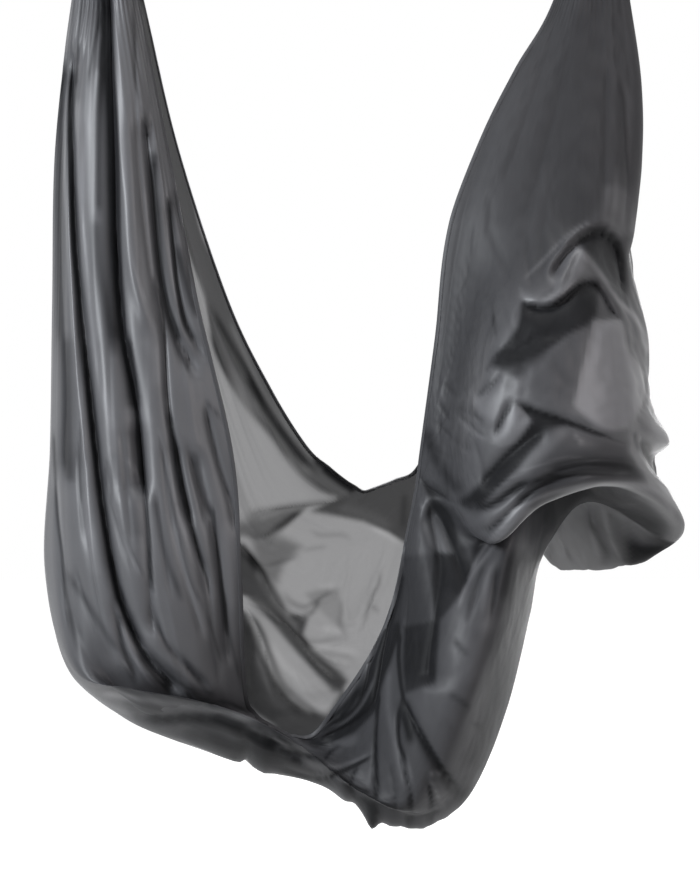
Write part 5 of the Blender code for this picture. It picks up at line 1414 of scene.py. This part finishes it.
def link_mesh(name, built, material):
    """Turns a bmesh into an object at the origin, with its faces outwards."""
    bmesh.ops.recalc_face_normals(built, faces=built.faces)
    mesh = bpy.data.meshes.new(name)
    built.to_mesh(mesh)
    built.free()
    mesh.materials.append(material)
    mesh.shade_smooth()
    return placed(name, mesh)


def loft(name, rings, material, closed_along, capped):
    """A skin over rings of points, with a UV map of metres round and along it."""
    rings = np.asarray(rings, float)
    count = rings.shape[1]
    u = running(np.linalg.norm(np.diff(rings, axis=1, append=rings[:, :1]), axis=2).mean(axis=0))
    v = running(np.linalg.norm(np.roll(rings, -1, axis=0) - rings, axis=2).mean(axis=1))
    built = bmesh.new()
    layer = built.loops.layers.uv.new("cloth")
    verts = [[built.verts.new(p) for p in ring] for ring in rings]
    for i in range(len(rings) if closed_along else len(rings) - 1):
        ring = verts[i]
        other = verts[(i + 1) % len(rings)]
        for k in range(count):
            j = (k + 1) % count
            face = built.faces.new((ring[k], ring[j], other[j], other[k]))
            corners = ((u[k], v[i]), (u[k + 1], v[i]), (u[k + 1], v[i + 1]), (u[k], v[i + 1]))
            for loop, place in zip(face.loops, corners):
                loop[layer].uv = place
    if capped:
        built.faces.new(verts[0])
        built.faces.new(verts[-1])
    return link_mesh(name, built, material)


def strip_outline(width, thick, steps=4):
    """Round-edged outline of a flat strip, as (across, through) points."""
    radius = thick / 2
    points = []
    for k in range(steps + 1):
        angle = math.pi * (k / steps - 0.5)
        points.append((width / 2 - radius + radius * math.cos(angle), radius * math.sin(angle)))
    return points + [(-a, -b) for a, b in points]


def banded(name, middle, across, through, outline, material, closed):
    """Sweeps an outline along a line whose two directions are given at each point."""
    rings = [[p + a * side + b * out for a, b in outline] for p, side, out in zip(middle, across, through)]
    return loft(name, rings, material, closed, not closed)


def stitch_tree():
    """Geometry nodes that set a thread stitch at every step along a line."""
    tree = bpy.data.node_groups.new("stitches", "GeometryNodeTree")
    keys = {}
    face = tree.interface
    face.new_socket("Geometry", in_out="INPUT", socket_type="NodeSocketGeometry")
    for name, kind in (("Spacing", "Float"), ("Stitch length", "Float"), ("Thread radius", "Float"),
                       ("Material", "Material")):
        keys[name] = face.new_socket(name, in_out="INPUT", socket_type="NodeSocket" + kind).identifier
    face.new_socket("Geometry", in_out="OUTPUT", socket_type="NodeSocketGeometry")
    kinds = {"given": "NodeGroupInput", "curve": "GeometryNodeMeshToCurve",
             "steps": "GeometryNodeResampleCurve", "thread": "GeometryNodeMeshCylinder",
             "tangent": "GeometryNodeInputTangent", "aim": "FunctionNodeAlignEulerToVector",
             "place": "GeometryNodeInstanceOnPoints", "real": "GeometryNodeRealizeInstances",
             "smooth": "GeometryNodeSetShadeSmooth", "paint": "GeometryNodeSetMaterial",
             "made": "NodeGroupOutput"}
    nodes = {name: tree.nodes.new(kind) for name, kind in kinds.items()}
    nodes["steps"].mode = "LENGTH"
    nodes["aim"].axis = "Z"
    nodes["thread"].inputs["Vertices"].default_value = STITCH_SIDES
    for source, output, target, socket in (
            ("given", "Geometry", "curve", "Mesh"), ("curve", "Curve", "steps", "Curve"),
            ("given", "Spacing", "steps", "Length"), ("given", "Stitch length", "thread", "Depth"),
            ("given", "Thread radius", "thread", "Radius"), ("steps", "Curve", "place", "Points"),
            ("thread", "Mesh", "place", "Instance"), ("tangent", "Tangent", "aim", "Vector"),
            ("aim", "Rotation", "place", "Rotation"), ("place", "Instances", "real", "Geometry"),
            ("real", "Geometry", "smooth", "Geometry"), ("smooth", "Geometry", "paint", "Geometry"),
            ("given", "Material", "paint", "Material"), ("paint", "Geometry", "made", "Geometry")):
        tree.links.new(nodes[source].outputs[output], nodes[target].inputs[socket])
    return tree, keys


def stitched(name, lines, sizes, material):
    """Thread stitches along lines of points, as one plain mesh. Sizes: spacing, length, radius."""
    points = []
    edges = []
    for line in lines:
        edges += [(i, i + 1) for i in range(len(points), len(points) + len(line) - 1)]
        points += [tuple(map(float, p)) for p in line]
    mesh = bpy.data.meshes.new(name + "_lines")
    mesh.from_pydata(points, edges, [])
    guide = placed(name + "_lines", mesh)
    tree, keys = stitch_tree()
    modifier = guide.modifiers.new("stitches", "NODES")
    modifier.node_group = tree
    for key, value in zip(("Spacing", "Stitch length", "Thread radius", "Material"), (*sizes, material)):
        modifier[keys[key]] = value
    sewn = bpy.data.meshes.new_from_object(evaluated(guide))
    bpy.data.objects.remove(guide)
    if not sewn.polygons:
        raise RuntimeError(name + ": the stitches came out empty")
    return placed(name, sewn)


def unit(vectors):
    """Vectors brought to a length of 1."""
    return vectors / (np.linalg.norm(vectors, axis=-1, keepdims=True) + TINY)


def hem_frames(points, edge):
    """Middle line, direction across and direction outwards of the hem on one edge of the sheet."""
    rim = points[:, edge]
    inner = points[:, 2 if edge == 0 else -3]
    along = unit(np.gradient(rim, axis=0))
    inward = inner - rim
    inward = unit(inward - (inward * along).sum(axis=1, keepdims=True) * along)
    inward = unit(blurred(inward[:, None], 2)[:, 0])
    out = unit(np.cross(along, inward)) * (1 if edge == 0 else -1)
    near_end = np.minimum(np.arange(len(rim)), np.arange(len(rim))[::-1])[:, None]
    inward = inward * (HEM_AT_NECKS + (1 - HEM_AT_NECKS) * smooth_step(near_end, *HEM_WIDENS))
    return rim + inward * (HEM_WIDTH / 2 - HEM_OVERLAP), inward, out


def hems(stations, points, cloth, thread):
    """The rolled hems on the sheet's two long edges, and their stitches."""
    pieces = []
    lines = []
    for name, edge in (("back_hem", 0), ("front_hem", -1)):
        middle, inward, out = hem_frames(points, edge)
        keep = slice(1, -1)
        outline = strip_outline(HEM_WIDTH, HEM_THICK)
        hem = banded(name, middle[keep], inward[keep], out[keep], outline, cloth, False)
        passing = share_at(HEM_SHEER[edge], stations[keep])
        give_shading(hem, HEM_SHADING, np.repeat(passing, len(outline)))
        pieces.append(hem)
        for side in (-1, 1):
            lines.append((middle + inward * HEM_WIDTH * HEM_SEAM + out * side * HEM_THICK * 0.5)[keep])
    pieces.append(stitched("hem_stitches", lines, HEM_STITCHES, thread))
    return pieces


def give_shading(obj, shading, sheer):
    """Sets an even level of painted shading on a small piece of the same cloth, and how much light it lets
    through.
    """
    for name, value in (("shading", shading), ("sheer", sheer)):
        point_values(obj, name, np.broadcast_to(value, len(obj.data.vertices)))


def channel_radius(share, angle):
    """Ruffles and puckers of the gathered channel at a place along it and round it, from -1 to 1."""
    wander = 0.35 * math.sin(angle * 2 + 1.3) + 0.25 * math.sin(angle * 3 + share * 9)
    wide = math.cos(math.tau * CHANNEL_RUFFLES * share + wander)
    fine = math.cos(math.tau * CHANNEL_PUCKERS * share + 1.4 * wander + 0.8 * math.sin(11 * share))
    return wide, fine


def squared_off(value):
    """A sine or cosine for an outline between an ellipse and a rectangle."""
    return math.copysign(abs(value) ** HOLE_POWER, value)


def channel(side_name, x, cloth, thread):
    """The sheet's end, turned over and stitched into a gathered tube that the sling runs through."""
    outer = []
    inner = []
    ruffle_shading = []
    for i in range(CHANNEL_STEPS + 1):
        share = i / CHANNEL_STEPS
        y = CHANNEL_LENGTH * (share - 0.5)
        mouth = 1 - MOUTH_TAPER * abs(2 * share - 1) ** 4
        ring = []
        hole = []
        for k in range(CHANNEL_SIDES):
            angle = math.tau * k / CHANNEL_SIDES
            wide, fine = channel_radius(share, angle)
            out = RUFFLE_DEPTH * wide * (0.7 + 0.3 * math.sin(2 * angle + 1.3)) + PUCKER_DEPTH * fine
            below = RUFFLES_BELOW if math.sin(angle) < -0.5 else 1
            ring.append((x + (CHANNEL_HALF_WIDTH * mouth + out) * math.cos(angle), y,
                         CHANNEL_Z + (CHANNEL_HALF_HEIGHT * mouth + out * below) * math.sin(angle)))
            # Painted shade and light: the ruffles' crests are painted lighter and their hollows darker.
            ruffle_shading.append(0.45 + 0.22 * wide + 0.3 * fine)
            hole.append((x + HOLE_HALF_WIDTH * squared_off(math.cos(angle)), y,
                         CHANNEL_Z + HOLE_HALF_HEIGHT * squared_off(math.sin(angle))))
        outer.append(ring)
        inner.append(hole)
    tube = loft(side_name + "_channel_cloth", outer + inner[::-1], cloth, True, False)
    point_values(tube, "shading", np.concatenate([np.clip(ruffle_shading, 0, 1), np.full(len(ruffle_shading), HOLE_SHADE)]))
    rings = np.array(outer)
    centre = np.array([x, 0, CHANNEL_Z])
    lines = []
    for k in CHANNEL_STITCH_PLACES:
        line = rings[SEAM_ENDS:-SEAM_ENDS, k]
        away = unit((line - centre) * np.array([1, 0, 1]))
        lines.append(line + away * THREAD_LIFT)
    sewn = stitched(side_name + "_channel_stitches", lines, CHANNEL_STITCHES, thread)
    return [tube, sewn]


def sling_straight():
    """The lower and upper end of the sling's straight stretch, in the Y-Z plane."""
    bend = math.radians(SLING_BEND - 90)
    low = (SLING_RUN + SLING_TURN * math.cos(bend), CHANNEL_Z + SLING_TURN + SLING_TURN * math.sin(bend))
    wrap = math.radians(-SLING_CONTACT)
    return np.array(low), np.array([SLING_WRAP * math.cos(wrap), BOTTOM_BAR_Z + SLING_WRAP * math.sin(wrap)])


def sling_line():
    """The sling's middle line in the Y-Z plane, one full turn from the channel's middle."""
    points = [(0.0, CHANNEL_Z), (SLING_RUN * 0.5, CHANNEL_Z), (SLING_RUN, CHANNEL_Z)]
    for k in range(1, ARC_STEPS + 1):
        angle = math.radians(-90 + SLING_BEND * k / ARC_STEPS)
        height = CHANNEL_Z + SLING_TURN + SLING_TURN * math.sin(angle)
        points.append((SLING_RUN + SLING_TURN * math.cos(angle), height))
    low, high = sling_straight()
    points += [tuple(low + (high - low) * share) for share in (0.2, 0.4, 0.6, 0.8)]
    contact = math.radians(SLING_CONTACT)
    for k in range(ARC_STEPS + 1):
        angle = -contact + (math.pi / 2 + contact) * k / ARC_STEPS
        points.append((SLING_WRAP * math.cos(angle), BOTTOM_BAR_Z + SLING_WRAP * math.sin(angle)))
    return points + [(-y, z) for y, z in points[-2:0:-1]]


def sling(side_name, x, webbing, thread):
    """The closed webbing loop, the doubled stretch that closes it and the bar tacks."""
    line = np.array([(x, y, z) for y, z in sling_line()])
    along = unit(np.roll(line, -1, axis=0) - np.roll(line, 1, axis=0))
    across = np.broadcast_to([1.0, 0.0, 0.0], line.shape)
    through = np.cross(along, across)
    outline = strip_outline(WEB_WIDTH, WEB_THICK)
    loop = banded(side_name + "_web_loop", line, across, through, outline, webbing, True)

    lower, upper = (np.array([x, -y, z]) for y, z in sling_straight())
    run_up = unit(upper - lower)
    out = np.cross(run_up, [1.0, 0.0, 0.0])
    out = out if out[1] < 0 else -out
    middle = (lower + upper) / 2 + out * (WEB_THICK + 0.0003)
    places = middle + np.linspace(-0.5, 0.5, 9)[:, None] * TACK_LENGTH * run_up
    side = np.broadcast_to([1.0, 0.0, 0.0], places.shape)
    away = np.broadcast_to(out, places.shape)
    doubled = banded(side_name + "_web_overlap", places, side, away, outline, webbing, False)

    def sewn_line(x0, up0, x1, up1):
        return [face + run_up * TACK_LENGTH * up + np.array([dx, 0, 0]) for dx, up in ((x0, up0), (x1, up1))]

    face = middle + out * (WEB_THICK / 2 + 0.0001)
    lines = [sewn_line(-TACK_HALF, place, TACK_HALF, place) for place in TACK_BARS]
    lines += [sewn_line(CROSS_HALF * a, -CROSS_UP, CROSS_HALF * -a, CROSS_UP) for a in (-1, 1)]
    lines += [sewn_line(edge, -BOX_UP, edge, BOX_UP) for edge in (-TACK_HALF, TACK_HALF)]
    tacks = stitched(side_name + "_bar_tacks", lines, TACK_STITCHES, thread)
    return loop, doubled, tacks


def merged_copy(node):
    """A copy of a CAD node as a bmesh, with its points merged."""
    built = bmesh.new()
    built.from_mesh(bpy.data.objects[node].data)
    bmesh.ops.remove_doubles(built, verts=built.verts, dist=MERGE_REACH)
    return built


def coil_spring(node, material):
    """A copy of a CAD spring with its wire shaded smooth."""
    return link_mesh(node + "_finish", merged_copy(node), material)


def finished_metal(node, material, bevel):
    """A copy of a CAD node with its edges eased and its sides shaded smooth."""
    built = merged_copy(node)
    bmesh.ops.dissolve_limit(built, angle_limit=math.radians(JOINED_TO), verts=built.verts, edges=built.edges)
    obj = link_mesh(node + "_finish", built, material)
    ease = obj.modifiers.new("eased_edges", "BEVEL")
    ease.width = bevel
    ease.segments = 2
    ease.limit_method = "ANGLE"
    ease.angle_limit = math.radians(EASED_FROM)
    ease.harden_normals = False
    mesh = bpy.data.meshes.new_from_object(evaluated(obj))
    obj.modifiers.clear()
    obj.data = mesh
    mesh.shade_smooth()
    mesh.set_sharp_from_angle(angle=math.radians(SHARP_FROM))
    return obj


def webbing_finish(name, settings):
    """Flat polyester webbing: a herringbone of fine ribs with fuzz, painted lighter on the ribs and darker
    between them.
    """
    material = bpy.data.materials.new(name)
    nodes = Nodes(material)
    uv = nodes.add("ShaderNodeUVMap", {"uv_map": "cloth"})
    ribs = []
    for turn in (0.6, -0.6):
        place = nodes.add("ShaderNodeMapping", {}, {0: uv, 2: (0.0, 0.0, turn), 3: (1.0, 1.0, 1.0)})
        ribs.append(nodes.add("ShaderNodeTexWave", {"wave_type": "BANDS", "bands_direction": "Y"},
                              {"Vector": place, "Scale": 210.0, "Distortion": 0.6, "Detail": 1.0}, output=1))
    weave = ribs[0].math("MAXIMUM", ribs[1])
    fuzz = nodes.noise(uv, 900.0, 3.0)
    bump = nodes.bump(0.6, 0.0005, weave * 0.8 + fuzz * 0.2)
    # Painted shade and light: the colour follows the ribs' bump, lighter on them and darker between them,
    # with random fuzz.
    colour = nodes.blend(weave * 0.7 + fuzz * 0.3, settings.webbing_dark, settings.webbing_light)
    nodes.finish(nodes.add("ShaderNodeBsdfPrincipled", {},
                           {"Base Color": colour, "Roughness": fuzz * 0.25 + 0.55, "Sheen Weight": 0.2,
                            "Sheen Roughness": 0.5, "Specular IOR Level": 0.3, "Normal": bump}))
    return material


def thread_finish(name, settings):
    """Twisted polyester thread."""
    material = bpy.data.materials.new(name)
    nodes = Nodes(material)
    twist = nodes.noise(nodes.add("ShaderNodeTexCoord", output=3), 2600.0, 1.0)
    # Painted shade and light: the colour follows the twist's bump, darker in its hollows and lighter on its
    # highs.
    colour = nodes.blend(twist, settings.thread_dark, settings.thread_light)
    bump = nodes.bump(0.3, 0.0001, twist)
    nodes.finish(nodes.add("ShaderNodeBsdfPrincipled", {},
                           {"Base Color": colour, "Roughness": twist * 0.2 + 0.42, "Normal": bump}))
    return material


def metal_finish(name, dark, light, roughness, streaks):
    """Plated steel: faint clouds, fine drawing streaks and small rubbed patches."""
    material = bpy.data.materials.new(name)
    nodes = Nodes(material)
    place = nodes.add("ShaderNodeTexCoord", output=3)
    drawn = nodes.noise(nodes.stretched(place, (1.0, 1.0, 0.05)), 2400.0, 2.0)
    clouds = nodes.noise(place, 90.0, 4.0, Roughness=0.6)
    rubbed = nodes.noise(place, 260.0, 6.0, Roughness=0.7)
    worn = nodes.add("ShaderNodeMapRange", {}, {0: rubbed, 1: 0.52, 2: 0.68, 3: 0.0, 4: 1.0})
    colour = nodes.blend(clouds * 0.6 + worn * 0.4, dark, light)
    rough = drawn * 0.10 + clouds * 0.12 + worn * -0.05 + (roughness - 0.1)
    bump = nodes.bump(streaks, 0.00012, drawn * 0.7 + rubbed * 0.3)
    nodes.finish(nodes.add("ShaderNodeBsdfPrincipled", {},
                           {"Base Color": colour, "Metallic": 1.0, "Roughness": rough, "Normal": bump}))
    return material


def tricot(name, settings):
    """Satin knitted nylon: a fine rib, faint long ripples, light through a single layer, and painted shade
    and light.
    """
    material = bpy.data.materials.new(name)
    nodes = Nodes(material)
    flat = {"noise_dimensions": "2D"}
    uv = nodes.add("ShaderNodeUVMap", {"uv_map": "cloth"})
    # This attribute holds painted shade and light, from dark in the cloth's hollows to light on its crests.
    shading = nodes.add("ShaderNodeAttribute", {"attribute_name": "shading"}, output=2)
    ripple = nodes.noise(nodes.stretched(uv, (26.0, 4.5, 1.0)), 1.0, 4.0, flat, Roughness=0.55)
    crumple = nodes.noise(nodes.stretched(uv, (9.0, 7.0, 1.0)), 1.6, 5.0, flat, Roughness=0.6, Distortion=0.6)
    grain = nodes.noise(nodes.stretched(uv, (900.0, 700.0, 1.0)), 1.0, 1.0, flat)
    soft = nodes.bump(0.2, 0.003, ripple * 0.5 + crumple * 0.5)
    bump = nodes.bump(0.16, 0.0006, grain, Normal=soft)
    # The colour is the painted shade and light, with random crumple.
    colour = nodes.blend(shading * 0.85 + crumple * 0.15, settings.sheet_dark, settings.sheet_light, False)
    rough = grain * 0.14 + (settings.sheet_roughness - 0.07)
    # The coat's gloss grows with the painted shading: a painted highlight on the ridges, none in the hollows.
    gloss = (shading * shading * (grain * 1.1 + 0.45) * settings.sheet_gloss).math("MINIMUM", 1.0)
    shader = nodes.add("ShaderNodeBsdfPrincipled", {},
                       {"Base Color": colour, "Roughness": rough, "Specular IOR Level": 0.06,
                        "Sheen Weight": 0.03, "Sheen Roughness": 0.35, "Sheen Tint": (0.75, 0.8, 0.95, 1.0),
                        "Coat Weight": gloss, "Coat Roughness": 0.45, "Coat IOR": 1.42, "Normal": bump})
    sheer = nodes.add("ShaderNodeAttribute", {"attribute_name": "sheer"}, output=2) * settings.sheet_sheer
    through = nodes.add("ShaderNodeBsdfTranslucent", {}, {"Color": (0.9, 0.9, 0.91, 1.0), "Normal": bump})
    nodes.finish(nodes.add("ShaderNodeMixShader", {}, {0: sheer, 1: shader, 2: through}))
    return material


def floor_paint():
    """White where it is seen directly, and a dim grey that throws little light back otherwise."""
    material = bpy.data.materials.new("stage_white")
    nodes = Nodes(material)
    seen = nodes.seen_directly()
    matte = nodes.add("ShaderNodeBsdfDiffuse", {}, {"Color": (0.3, 0.3, 0.3, 1.0)})
    glow = nodes.add("ShaderNodeEmission", {}, {"Color": WHITE, "Strength": 1.0})
    lit = nodes.add("ShaderNodeAddShader", {}, {0: matte, 1: glow})
    nodes.finish(nodes.add("ShaderNodeMixShader", {}, {0: seen, 1: matte, 2: lit}))
    return material


class HammockSizes(bpy.types.PropertyGroup):
    """Sizes of the sheet's grid."""
    rows: IntProperty(name="Rows", description="Rows of points along the sheet", default=420, min=60)
    columns: IntProperty(name="Columns", description="Points across the sheet", default=236, min=40)
    cut_width: FloatProperty(name="Cut width", description="Width of the flat cloth", default=1.5,
                             unit="LENGTH")
    cut_length: FloatProperty(name="Cut length", description="Length of the flat cloth between its channels",
                              default=4.1, unit="LENGTH")


def colour_setting(name, description, default):
    """A colour that the panel shows."""
    return FloatVectorProperty(name=name, description=description, subtype="COLOR", default=default)


def factor_setting(name, description, default):
    """A number from the panel that scales something."""
    return FloatProperty(name=name, description=description, default=default, subtype="FACTOR")


class HammockFinish(bpy.types.PropertyGroup):
    """Colours and gloss."""
    # The cloth's colour runs from dark to light by its painted shade and light.
    sheet_dark: colour_setting("Cloth, dark", "Darker tone of the tricot", (0.005, 0.0052, 0.006))
    sheet_light: colour_setting("Cloth, light", "Lighter tone of the tricot", (0.085, 0.085, 0.091))
    sheet_roughness: factor_setting("Cloth roughness", "Gloss of the tricot", 0.46)
    # The webbing's painted shade between its ribs and painted light on them.
    webbing_dark: colour_setting("Webbing, dark", "Between the ribs", (0.008, 0.008, 0.009))
    webbing_light: colour_setting("Webbing, light", "On the ribs", (0.032, 0.032, 0.035))
    # The thread's painted shade in its twist and painted light on it.
    thread_dark: colour_setting("Thread, dark", "In the twist", (0.02, 0.02, 0.022))
    thread_light: colour_setting("Thread, light", "On the twist", (0.07, 0.07, 0.075))
    steel_dark: colour_setting("Steel, dark", "Clouded plating", (0.16, 0.165, 0.175))
    steel_light: colour_setting("Steel, light", "Bright plating", (0.34, 0.345, 0.355))
    steel_roughness: factor_setting("Steel roughness", "Gloss of the plating", 0.26)
    sleeve_dark: colour_setting("Sleeve, dark", "Dark plating", (0.07, 0.071, 0.075))
    sleeve_light: colour_setting("Sleeve, light", "Where it is rubbed", (0.17, 0.171, 0.176))
    sleeve_roughness: factor_setting("Sleeve roughness", "Gloss of the sleeve", 0.36)
    sheet_gloss: factor_setting("Satin gloss", "Shine on the folds' ridges", 0.9)
    sheet_sheer: factor_setting("Sheerness", "Scales the light that passes through one layer", 1.0)


class HAMMOCK_OT_sheet(bpy.types.Operator):
    """Makes the gathered tricot sheet"""
    bl_idname = "hammock.sheet"
    bl_label = "Sheet"

    def execute(self, context):
        sizes = context.scene.hammock_sizes
        finish = context.scene.hammock_finish
        stations, shares, points = sheet_points(sizes.rows, sizes.columns)
        loose = sheet_points(SETTLE_ROWS, SETTLE_COLUMNS)
        moves = spread_moves(*loose[:2], settled(*loose), stations, shares)
        points = points + moves * share_at(SETTLED_SHARE, stations)[:, None, None]
        middle = as_hung(as_seen(stations, np.array(LENGTH_SHARES)))
        run = running(np.linalg.norm(np.diff(middle, axis=0), axis=2).mean(axis=1))
        run *= sizes.cut_length / run[-1]
        uv = np.stack(np.broadcast_arrays(shares[None, :] * sizes.cut_width, run[:, None]), axis=-1)
        sheet = grid_mesh("tricot_sheet", points, uv)
        point_values(sheet, "sheer", sheerness(stations, shares, points))
        point_values(sheet, "shading", painted_shading(stations, shares, points))
        sheet.data.materials.append(tricot("tricot", finish))
        sewn = hems(stations, points, sheet.data.materials[0], thread_finish("thread", finish))
        for piece in [sheet] + sewn:
            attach(piece, "hammock")
        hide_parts("fabric_left_leg", "fabric_seat", "fabric_right_leg")
        return {"FINISHED"}


class HAMMOCK_OT_channels(bpy.types.Operator):
    """Makes the ruffled channels that the slings run through"""
    bl_idname = "hammock.channels"
    bl_label = "Channels"

    def execute(self, context):
        cloth = bpy.data.materials["tricot"]
        thread = bpy.data.materials["thread"]
        for side_name, x in SIDES:
            tube, sewn = channel(side_name, x, cloth, thread)
            for piece in (tube, sewn):
                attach(piece, "hammock")
            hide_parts(side_name + "_sewn_channel")
        return {"FINISHED"}


class HAMMOCK_OT_slings(bpy.types.Operator):
    """Makes the webbing loops, their doubled stretches and the bar tacks"""
    bl_idname = "hammock.slings"
    bl_label = "Slings"

    def execute(self, context):
        webbing = webbing_finish("webbing_weave", context.scene.hammock_finish)
        thread = bpy.data.materials["thread"]
        for side_name, x in SIDES:
            loop, doubled, tacks = sling(side_name, x, webbing, thread)
            for piece in (loop, doubled, tacks):
                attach(piece, "hammock")
            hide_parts(side_name + "_sling")
            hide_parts(side_name + "_sling_overlap")
        return {"FINISHED"}


class HAMMOCK_OT_carabiners(bpy.types.Operator):
    """Eases the metal pieces' edges and gives them their plating"""
    bl_idname = "hammock.carabiners"
    bl_label = "Carabiners"

    def execute(self, context):
        finish = context.scene.hammock_finish
        steel = (finish.steel_dark, finish.steel_light)
        sleeve = (finish.sleeve_dark, finish.sleeve_light)
        bright = metal_finish("steel_plated", *steel, finish.steel_roughness, 0.25)
        dark = metal_finish("sleeve_plated", *sleeve, finish.sleeve_roughness, 0.4)
        spring = metal_finish("spring_drawn", *steel, 0.3, 0.15)
        for side_name, _ in SIDES:
            for node, body, slot, bevel in METAL_PIECES:
                piece = finished_metal(side_name + node, dark if slot == "sleeve_steel" else bright, bevel)
                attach(piece, side_name + body if body.startswith("_") else body)
                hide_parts(side_name + node)
            coil = coil_spring(side_name + "_gate_spring", spring)
            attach(coil, side_name + "_gate_bar")
            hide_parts(side_name + "_gate_spring")
            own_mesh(coil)
        return {"FINISHED"}


class HAMMOCK_OT_stage(bpy.types.Operator):
    """Sets the floor, the backdrop, the lamps and the camera"""
    bl_idname = "hammock.stage"
    bl_label = "Stage"

    def execute(self, context):
        scene = context.scene
        floor = bpy.data.meshes.new("floor")
        corners = [(x * FLOOR_HALF, y * FLOOR_HALF, FLOOR_Z) for x, y in ((-1, -1), (1, -1), (1, 1), (-1, 1))]
        floor.from_pydata(corners, [], [(0, 1, 2, 3)])
        floor.materials.append(floor_paint())
        ground = placed("floor", floor)

        world = bpy.data.worlds.new("studio")
        scene.world = world
        nodes = Nodes(world)
        seen = nodes.seen_directly()
        air = nodes.add("ShaderNodeBackground", {}, {"Color": WHITE, "Strength": WORLD_LIGHT})
        white = nodes.add("ShaderNodeBackground", {}, {"Color": WHITE, "Strength": 1.0})
        mixed = nodes.add("ShaderNodeMixShader", {}, {0: seen, 1: air, 2: white})
        nodes.finish(mixed, "ShaderNodeOutputWorld")

        for name, place, size, energy, shade in LAMPS:
            lamp = bpy.data.lights.new(name, "AREA")
            lamp.shape = "RECTANGLE"
            lamp.size, lamp.size_y = size
            lamp.energy = energy
            lamp.color = shade
            obj = placed(name, lamp)
            obj.location = place
            obj.rotation_euler = (Vector(LAMP_TARGET) - Vector(place)).to_track_quat("-Z", "Y").to_euler()

        data = bpy.data.cameras.new("camera")
        camera = placed("camera", data)
        data.sensor_fit = "HORIZONTAL"
        data.sensor_width = SENSOR_WIDTH
        data.lens = CAMERA_LENS
        camera.location = (VIEW_ACROSS, -VIEW_DISTANCE, VIEW_HEIGHT)
        camera.rotation_euler = (math.radians(90), 0, 0)
        scene.camera = camera
        scene.view_settings.view_transform = "Standard"
        return {"FINISHED"}


class HAMMOCK_PT_panel(bpy.types.Panel):
    """Lists the hammock's steps"""
    bl_label = "Aerial hammock"
    bl_space_type = "VIEW_3D"
    bl_region_type = "UI"
    bl_category = "Hammock"

    def draw(self, context):
        for group in (context.scene.hammock_sizes, context.scene.hammock_finish):
            for name in group.bl_rna.properties.keys():
                if name not in ("rna_type", "name"):
                    self.layout.prop(group, name)
        for operator in OPERATORS:
            self.layout.operator(operator.bl_idname)


OPERATORS = (HAMMOCK_OT_stage, HAMMOCK_OT_sheet, HAMMOCK_OT_channels, HAMMOCK_OT_slings,
             HAMMOCK_OT_carabiners)
GROUPS = (HammockSizes, HammockFinish)


def register():
    """Registers the settings, the steps and the panel."""
    for group in GROUPS + OPERATORS + (HAMMOCK_PT_panel,):
        bpy.utils.register_class(group)
    bpy.types.Scene.hammock_sizes = PointerProperty(type=HammockSizes)
    bpy.types.Scene.hammock_finish = PointerProperty(type=HammockFinish)


def unregister():
    """Takes them away again."""
    del bpy.types.Scene.hammock_sizes
    del bpy.types.Scene.hammock_finish
    for group in reversed(GROUPS + OPERATORS + (HAMMOCK_PT_panel,)):
        bpy.utils.unregister_class(group)


def main():
    """Builds everything."""
    register()
    bpy.ops.hammock.stage()
    bpy.ops.hammock.sheet()
    bpy.ops.hammock.channels()
    bpy.ops.hammock.slings()
    bpy.ops.hammock.carabiners()
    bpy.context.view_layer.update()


if __name__ == "__main__":
    main()
